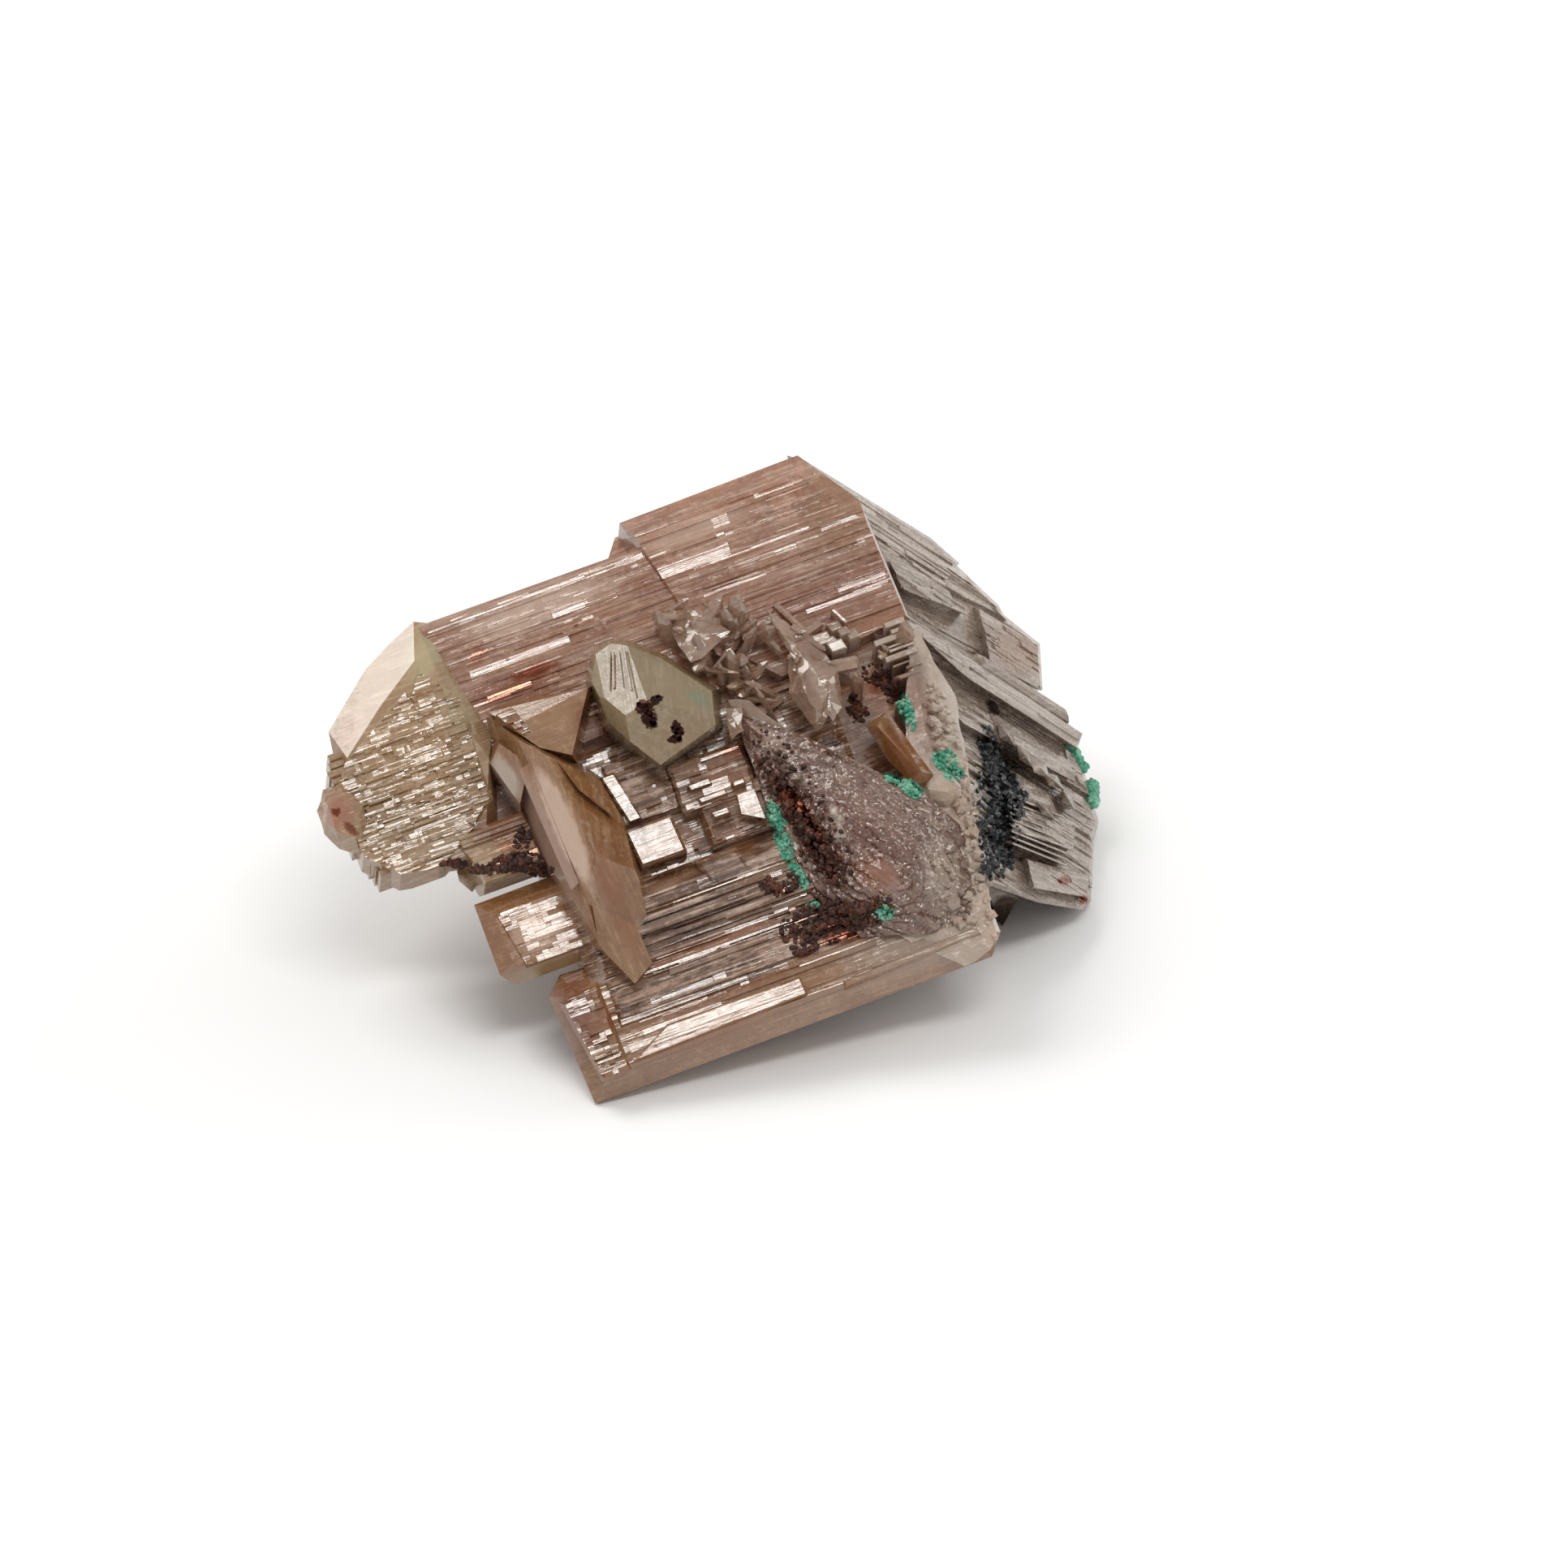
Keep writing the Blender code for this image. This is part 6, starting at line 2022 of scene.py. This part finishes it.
KNOB_SPOTS = (
    ("lime", 0.75, -19.2, 7.0, 2.4, 1.3, 62.0, 0.7),
    ("lime", 0.4, -17.5, 4.2, 2.6, 1.1, -70.0, 0.8),
    ("honey_deep", 0.3, -22.2, 5.4, 2.6, 0.8, 60.0, 0.8),
    ("rose", 0.40, -23.3, 2.8, 1.7, 0.8, 55.0, 0.8),
    ("rose", 0.65, -23.9, -1.5, 1.5, 1.2, 90.0, 0.7),
    ("rust_stain_and_shade", 0.9, -24.0, -1.5, 0.35, 0.3, 0.0, 0.5),
    ("rust_stain_and_shade", 0.8, -23.2, -2.4, 0.6, 0.3, -45.0, 0.6),
    ("pink_deep", 0.65, -15.2, -2.2, 2.4, 1.5, 20.0, 0.8),
    ("rust_stain_and_shade", 0.6, -14.2, -3.4, 2.0, 1.2, 0.0, 0.8),
    ("ice_pale", 0.6, -17.3, -5.4, 0.8, 0.6, 0.0, 0.6),
)
BLADE_SPOTS = (
    ("lilac", 0.85, -12.4, -4.0, 1.0, 6.4, 22.0, 0.5),
    ("ash_pale", 0.6, -14.9, 0.4, 1.6, 0.7, -60.0, 0.5),
    ("pink_pale", 0.8, -11.75, -2.3, 4.2, 0.72, -66.0, 0.4),
    # Brown on the blade: partly its own colour, partly a painted glow of light through it
    ("brown", 0.55, -8.9, -6.4, 4.6, 0.9, -70.0, 0.6),
    ("brown", 0.4, -9.6, -1.6, 2.0, 0.8, -50.0, 0.7),
)
TRIANGLE_SPOTS = (
    ("honey_deep", 0.6, -12.4, 3.6, 2.6, 1.2, 15.0, 0.8),
    # Painted shade on the triangle's dark right facet
    ("rust_stain_and_shade", 0.5, -10.6, 3.4, 1.0, 1.6, 20.0, 0.8),
)
PRISM_SPOTS = (
    ("honey_deep", 0.5, -5.6, 2.6, 2.6, 1.5, 15.0, 0.7),
    # Painted shade on the prism's left facets
    ("amber_deep", 0.4, -8.9, 5.7, 1.7, 1.0, -75.0, 0.7),
    ("honey", 0.5, -7.4, 1.9, 1.3, 1.0, -30.0, 0.7),
    ("rust_dark_and_shade", 1.0, -7.5, 4.1, 0.55, 0.5, 0.0, 0.2),
    ("rust_dark_and_shade", 1.0, -7.25, 3.45, 0.65, 0.42, -60.0, 0.2),
    ("rust_dark_and_shade", 1.0, -6.85, 4.5, 0.4, 0.28, 30.0, 0.2),
    ("rust_dark_and_shade", 1.0, -5.7, 2.95, 0.5, 0.34, -60.0, 0.2),
    ("rust_dark_and_shade", 1.0, -5.9, 2.4, 0.42, 0.25, 10.0, 0.2),
    ("malachite", 0.35, -4.6, 4.6, 1.0, 0.5, -30.0, 0.8),
)
CLEAR_SPOTS = (
    ("pink_deep", 0.45, 1.6, 7.0, 2.2, 0.8, -45.0, 0.8),
    ("ice_deep", 0.5, 1.0, 5.3, 1.8, 0.7, -75.0, 0.7),
    ("ice_deep", 0.4, 1.6, 4.6, 2.2, 0.5, -70.0, 0.8),
    # Painted highlight on the small flashing squares
    ("ice_pale", 0.9, 3.2, 7.3, 1.3, 1.0, 20.0, 0.6),
    ("pink_deep", 0.35, -3.0, 7.6, 3.0, 1.2, -20.0, 0.8),
)
WEDGE_SPOTS = (
    ("pink_deep", 0.35, 4.0, -2.4, 6.0, 3.4, -38.0, 0.9),
    ("rose", 0.4, 5.0, -4.9, 1.9, 1.5, -38.0, 0.9),
    ("brown", 0.35, 5.0, -5.0, 1.5, 1.2, -38.0, 0.8),
    ("rust_dark_and_shade", 0.8, 1.9, -6.2, 1.4, 0.9, 0.0, 0.9),
    ("rust_dark_and_shade", 0.75, 0.3, -0.9, 3.8, 1.1, -58.0, 0.9),
    ("lilac", 0.12, 4.4, -0.8, 3.6, 1.4, -35.0, 0.8),
    ("ice_pale", 0.9, 2.8, -1.7, 0.9, 0.4, -70.0, 0.6),
    ("ice_pale", 0.6, 3.0, -2.8, 0.6, 0.5, 0.0, 0.7),
    ("rust_stain_and_shade", 0.8, 2.8, 2.2, 3.6, 0.45, -22.0, 0.6),
    ("rust_stain_and_shade", 0.85, 1.2, -2.4, 3.6, 0.9, -60.0, 0.7),
    ("rust_dark_and_shade", 0.8, 1.8, -3.4, 3.2, 0.9, -62.0, 0.9),
    ("rust_dark_and_shade", 0.8, 3.4, -7.3, 3.0, 0.8, 10.0, 0.9),
    ("rust_dark_and_shade", 0.6, 2.6, 1.6, 3.0, 0.25, -26.0, 0.8),
    ("lilac", 0.5, -0.6, 2.2, 1.6, 1.0, -30.0, 0.8),
    ("rust_stain_and_shade", 0.9, 3.4, -7.1, 2.8, 0.9, 15.0, 0.7),
    ("ash", 0.5, 0.6, 0.6, 1.5, 0.8, -50.0, 0.8),
    ("frost", 0.7, 8.6, -5.2, 1.6, 3.2, 10.0, 0.8),
)
MARGIN_SPOTS = (
    ("panel", 0.8, 6.6, 5.6, 1.4, 3.4, 18.0, 0.8),
    ("panel_deep_and_shade", 0.45, 7.1, 6.2, 0.9, 1.3, 20.0, 0.8),
    ("pink_deep", 0.45, 7.4, 3.4, 1.0, 3.6, 15.0, 0.6),
    ("honey", 0.35, 8.6, -0.4, 0.9, 0.8, 0.0, 0.6),
    ("ash_pale", 0.6, 9.0, 4.4, 0.9, 3.2, 12.0, 0.7),
    ("ore", 0.5, 10.3, -1.6, 0.5, 2.4, 15.0, 0.8),
)
WING_SPOTS = (
    ("ash_deep", 0.5, 7.6, 13.7, 7.6, 1.0, -36.0, 0.7),
    ("ore", 0.95, 11.5, -0.4, 3.8, 1.6, -78.0, 0.8),
    ("ash_deep", 0.5, 12.3, 7.0, 2.2, 1.7, -45.0, 0.7),
    ("ore", 0.6, 12.2, 0.9, 2.0, 1.0, -60.0, 0.9),
    ("amber", 0.5, 12.4, 7.0, 2.0, 1.6, -45.0, 0.7),
    ("ash_pale", 0.5, 12.8, 4.4, 3.4, 0.5, -32.0, 0.6),
    ("ash_pale", 0.4, 5.4, 13.6, 4.4, 1.0, -32.0, 0.7),
    ("rust_stain_and_shade", 0.9, 15.0, -5.2, 0.5, 0.3, 0.0, 0.5),
    ("rust_stain_and_shade", 0.9, 16.1, -6.2, 0.4, 0.35, 0.0, 0.5),
    # The right foot: partly its own dark brown, partly painted shade, as it sits in shadow behind the slab
    ("rust_dark_and_shade", 0.9, 12.1, -6.8, 1.5, 1.1, 0.0, 0.4),
    ("rust_dark_and_shade", 0.8, 11.2, 4.1, 0.35, 0.6, 25.0, 0.5),
    ("rust_stain_and_shade", 0.7, 10.0, 11.0, 0.4, 0.5, 0.0, 0.6),
)


class GrowMainCrystal(bpy.types.Operator):
    """Grow the main crystal with its silky striations"""

    bl_idname = "mineral.main_crystal"
    bl_label = "Main crystal"

    def execute(self, context):
        paint = cerussite("pink_cerussite", MAIN_AXES, PINK, streak=0.8, dark=0.45, spots=MAIN_SPOTS, stripes=MAIN_STRIPES)
        crystal_piece("main_crystal", main_meshes(), paint)
        return {"FINISHED"}


class GrowSteppedPanel(bpy.types.Operator):
    """Grow the striated panel and the blocky steps above it"""

    bl_idname = "mineral.stepped_panel"
    bl_label = "Stepped panel"

    def execute(self, context):
        paint = cerussite("panel_cerussite", MAIN_AXES, PANEL, streak=1.15, spots=PANEL_SPOTS)
        crystal_piece("stepped_panel", panel_meshes(), paint)
        return {"FINISHED"}


class GrowFoot(bpy.types.Operator):
    """Grow the long slab at the foot and the small block above it"""

    bl_idname = "mineral.foot"
    bl_label = "Slab and small block"

    def execute(self, context):
        slab = cerussite("slab_cerussite", MAIN_AXES, AMBER, streak=0.5, dark=0.5, spots=SLAB_SPOTS)
        crystal_piece("lower_slab", slab_meshes(), slab)
        block = cerussite("block_cerussite", MAIN_AXES, AMBER, streak=0.5, dark=0.4, spots=BLOCK_SPOTS)
        crystal_piece("small_block", block_meshes(), block)
        return {"FINISHED"}


class GrowKnob(bpy.types.Operator):
    """Grow the thick yellowish left end"""

    bl_idname = "mineral.left_knob"
    bl_label = "Left knob"

    def execute(self, context):
        paint = cerussite("knob_cerussite", MAIN_AXES, HONEY, streak=0.6, dark=0.2, spots=KNOB_SPOTS)
        crystal_piece("left_knob", knob_meshes(), paint)
        return {"FINISHED"}


class GrowBlade(bpy.types.Operator):
    """Grow the tall blade in front on the left"""

    bl_idname = "mineral.blade"
    bl_label = "Blade"

    def execute(self, context):
        axes = (Vector((0.39, -0.90, 0.2)).normalized(), Vector((0.90, 0.39, 0.2)).normalized(), OUT_OF_MAIN)
        paint = cerussite("blade_cerussite", axes, AMBER, streak=0.6, dark=0.4, spots=BLADE_SPOTS)
        crystal_piece("blade", blade_meshes(), paint)
        return {"FINISHED"}


class GrowStandingCrystals(bpy.types.Operator):
    """Grow the triangular crystal and the yellow-green prism"""

    bl_idname = "mineral.standing_crystals"
    bl_label = "Triangle and prism"

    def execute(self, context):
        flat_paint = cerussite("triangle_cerussite", MAIN_AXES, AMBER, streak=0.3, dark=0.2, spots=TRIANGLE_SPOTS)
        crystal_piece("triangle_crystal", triangle_meshes(), flat_paint)
        axes = (Vector((0.3, -0.9, 0.35)).normalized(), Vector((0.9, 0.35, 0.2)).normalized(), OUT_OF_MAIN)
        green = cerussite("yellow_cerussite", axes, OLIVE, rough=0.2, streak=0.9, dark=0.4, spots=PRISM_SPOTS)
        crystal_piece("yellow_prism", prism_meshes(), green)
        return {"FINISHED"}


class GrowClearCrystals(bpy.types.Operator):
    """Grow the arrowhead, the shard and the cluster of small clear crystals"""

    bl_idname = "mineral.clear_crystals"
    bl_label = "Clear crystals"

    def execute(self, context):
        paint = cerussite("clear_cerussite", MAIN_AXES, ICE, clear=0.65, rough=0.03, streak=0.4, dark=0.4, spots=CLEAR_SPOTS)
        crystal_piece("clear_crystals", clear_meshes(), paint)
        return {"FINISHED"}


class GrowWedge(bpy.types.Operator):
    """Grow the front wedge with its curved ridges and the brown tab behind it"""

    bl_idname = "mineral.front_wedge"
    bl_label = "Wedge and tab"

    def execute(self, context):
        # The tab's brown: partly its own colour, partly a painted glow of light through it
        brown = cerussite("tab_cerussite", MAIN_AXES, AMBER, clear=0.5, streak=0.2, spots=(("brown", 0.7, 6.4, 1.6, 2.6, 1.2, -50.0, 0.8),))
        crystal_piece("brown_tab", tab_meshes(), brown)
        paint = cerussite("wedge_cerussite", WEDGE_AXES, PLUM, rough=0.14, streak=0.7, dark=0.7, frost=0.4, spots=WEDGE_SPOTS)
        crystal_piece("front_wedge", wedge_meshes(), paint)
        return {"FINISHED"}


class GrowMargin(bpy.types.Operator):
    """Grow the frosted margin and its staircase of small ridges"""

    bl_idname = "mineral.frosted_margin"
    bl_label = "Frosted margin"

    def execute(self, context):
        paint = cerussite("frosted_cerussite", MAIN_AXES, FROST, rough=0.3, streak=0.3, dark=0.5, frost=1.0, spots=MARGIN_SPOTS)
        crystal_piece("frosted_margin", margin_meshes(), paint)
        return {"FINISHED"}


class GrowWing(bpy.types.Operator):
    """Grow the second individual of the twin, and the plates on the back"""

    bl_idname = "mineral.wing"
    bl_label = "Wing and back"

    def execute(self, context):
        paint = cerussite("wing_cerussite", WING_AXES, ASH, rough=0.12, streak=1.0, dark=0.25, frost=0.5, spots=WING_SPOTS)
        crystal_piece("wing_crystals", wing_meshes(), paint)
        back = cerussite("rear_cerussite", MAIN_AXES, ASH)
        crystal_piece("rear_crystals", rear_meshes(), back)
        return {"FINISHED"}


class GrowMalachite(bpy.types.Operator):
    """Strew the green malachite tufts"""

    bl_idname = "mineral.malachite"
    bl_label = "Malachite"

    def execute(self, context):
        looks = context.scene.mineral_looks
        largest = looks.malachite_grain / MM
        paint = malachite_paint()
        tree = sight()
        for index, (node, patches) in enumerate(MALACHITE_PATCHES.items()):
            sizes = (0.45 * largest, largest)
            if patches:
                meshes = strewn(tree, patches, sizes, 200 + index, 1, 0.2, 1.0)
            else:
                meshes = studded(node, 60, sizes, 200 + index, 1, 0.2)
            piece(node + "_growth", fused(meshes), paint, "malachite", node)
        return {"FINISHED"}


class GrowIronOxide(bpy.types.Operator):
    """Strew the dark red-brown iron oxide"""

    bl_idname = "mineral.iron_oxide"
    bl_label = "Iron oxide"

    def execute(self, context):
        largest = context.scene.mineral_looks.oxide_grain / MM
        paint = oxide_paint()
        tree = sight()
        for index, (node, patches) in enumerate(OXIDE_PATCHES.items()):
            meshes = strewn(tree, patches, (0.4 * largest, 1.2 * largest), 300 + index, 1, 0.25, 0.5)
            piece(node + "_growth", fused(meshes), paint, "iron_oxide", node)
        return {"FINISHED"}


class GrowBlackOre(bpy.types.Operator):
    """Strew the sparkling black ore in the valley before the wing"""

    bl_idname = "mineral.black_ore"
    bl_label = "Black ore"

    def execute(self, context):
        largest = context.scene.mineral_looks.ore_grain / MM
        meshes = strewn(sight(), ORE_PATCHES, (0.4 * largest, largest), 400, 1, 0.3, 0.5, "cube")
        piece("black_ore_growth", fused(meshes), ore_paint(), "black_ore", "black_ore_patch")
        return {"FINISHED"}


def light_box(name, direction, distance, width, height, radiance, target):
    """A soft box in a direction from the object, facing it."""
    light = bpy.data.lights.new(name, "AREA")
    light.shape = "RECTANGLE"
    light.size = width
    light.size_y = height
    light.energy = radiance * math.pi * width * height
    light.color = (1.0, 0.97, 0.925)
    holder = bpy.data.objects.new(name, light)
    bpy.context.scene.collection.objects.link(holder)
    holder.location = target + direction * distance
    holder.rotation_euler = direction.to_track_quat("Z", "Y").to_euler()


def flash_direction(tip):
    """Where a light stands that striation faces, tipped by tip degrees towards the viewer, throw into the eye."""
    turned = Matrix.Rotation(math.radians(tip), 3, ALONG_MAIN) @ OUT_OF_MAIN
    back = Vector((0, 0, 1))
    mirrored = turned * (2 * turned.dot(back)) - back
    return (FROM_DRAWING @ mirrored).normalized()


class SetUpStudio(bpy.types.Operator):
    """Set up the pale floor, the soft light and the camera"""

    bl_idname = "mineral.studio"
    bl_label = "Studio"

    def execute(self, context):
        looks = context.scene.mineral_looks
        ground = bpy.data.meshes.new("floor")
        ground.from_pydata([(-3, -3, 0), (3, -3, 0), (3, 3, 0), (-3, 3, 0)], [], [(0, 1, 2, 3)])
        floor = bpy.data.objects.new("floor", ground)
        context.scene.collection.objects.link(floor)
        paint = Paint("floor")
        paint.shader.inputs["Base Color"].default_value = tone("floor")
        paint.shader.inputs["Roughness"].default_value = 0.8
        ground.materials.append(paint.material)
        world = bpy.data.worlds.new("studio")
        context.scene.world = world
        world.use_nodes = True
        world.node_tree.nodes["Background"].inputs["Color"].default_value = (1.0, 0.97, 0.925, 1.0)
        world.node_tree.nodes["Background"].inputs["Strength"].default_value = looks.sky
        target = -CENTRE * MM
        light_box("key", Vector((-0.46, 0.30, 0.83)).normalized(), 1.0, 0.55, 0.55, looks.key, target)
        light_box("flash", flash_direction(FLASH_TIP), 0.9, 0.5, 0.16, looks.flash, target)
        light_box("fill", Vector((0.80, 0.45, 0.32)).normalized(), 1.0, 0.6, 0.5, looks.fill, target)
        camera = bpy.data.cameras.new("camera")
        holder = bpy.data.objects.new("camera", camera)
        context.scene.collection.objects.link(holder)
        away = FROM_DRAWING @ Vector((0, 0, 1))
        holder.location = target + away * EYE_DISTANCE * MM
        holder.rotation_euler = away.to_track_quat("Z", "Y").to_euler()
        camera.sensor_width = 36.0
        camera.lens = 18.0 * EYE_DISTANCE / PICTURE_HALF
        camera.clip_start = 0.01
        context.scene.camera = holder
        context.scene.view_settings.view_transform = "Standard"
        return {"FINISHED"}


OPERATORS = (
    GrowMainCrystal,
    GrowSteppedPanel,
    GrowFoot,
    GrowKnob,
    GrowBlade,
    GrowStandingCrystals,
    GrowClearCrystals,
    GrowWedge,
    GrowMargin,
    GrowWing,
    GrowMalachite,
    GrowIronOxide,
    GrowBlackOre,
    SetUpStudio,
)


class MineralPanel(bpy.types.Panel):
    """The steps that build the mineral group, with its settings"""

    bl_idname = "VIEW3D_PT_mineral"
    bl_label = "Cerussite with malachite"
    bl_space_type = "VIEW_3D"
    bl_region_type = "UI"
    bl_category = "Mineral"

    def draw(self, context):
        for operator in OPERATORS:
            self.layout.operator(operator.bl_idname)
        for settings in (context.scene.mineral_looks, context.scene.mineral_tones):
            for name in settings.__annotations__:
                self.layout.prop(settings, name)


CLASSES = (MineralTones, MineralLooks, *OPERATORS, MineralPanel)


def register():
    """Adds the settings, the operators and the panel."""
    for kind in CLASSES:
        bpy.utils.register_class(kind)
    bpy.types.Scene.mineral_tones = bpy.props.PointerProperty(type=MineralTones)
    bpy.types.Scene.mineral_looks = bpy.props.PointerProperty(type=MineralLooks)


def unregister():
    """Takes them away again."""
    del bpy.types.Scene.mineral_looks
    del bpy.types.Scene.mineral_tones
    for kind in reversed(CLASSES):
        bpy.utils.unregister_class(kind)


def main():
    """Builds the whole group; each crystal piece prints its size."""
    register()
    for operator in OPERATORS:
        group, name = operator.bl_idname.split(".")
        getattr(getattr(bpy.ops, group), name)()


if __name__ == "__main__":
    main()
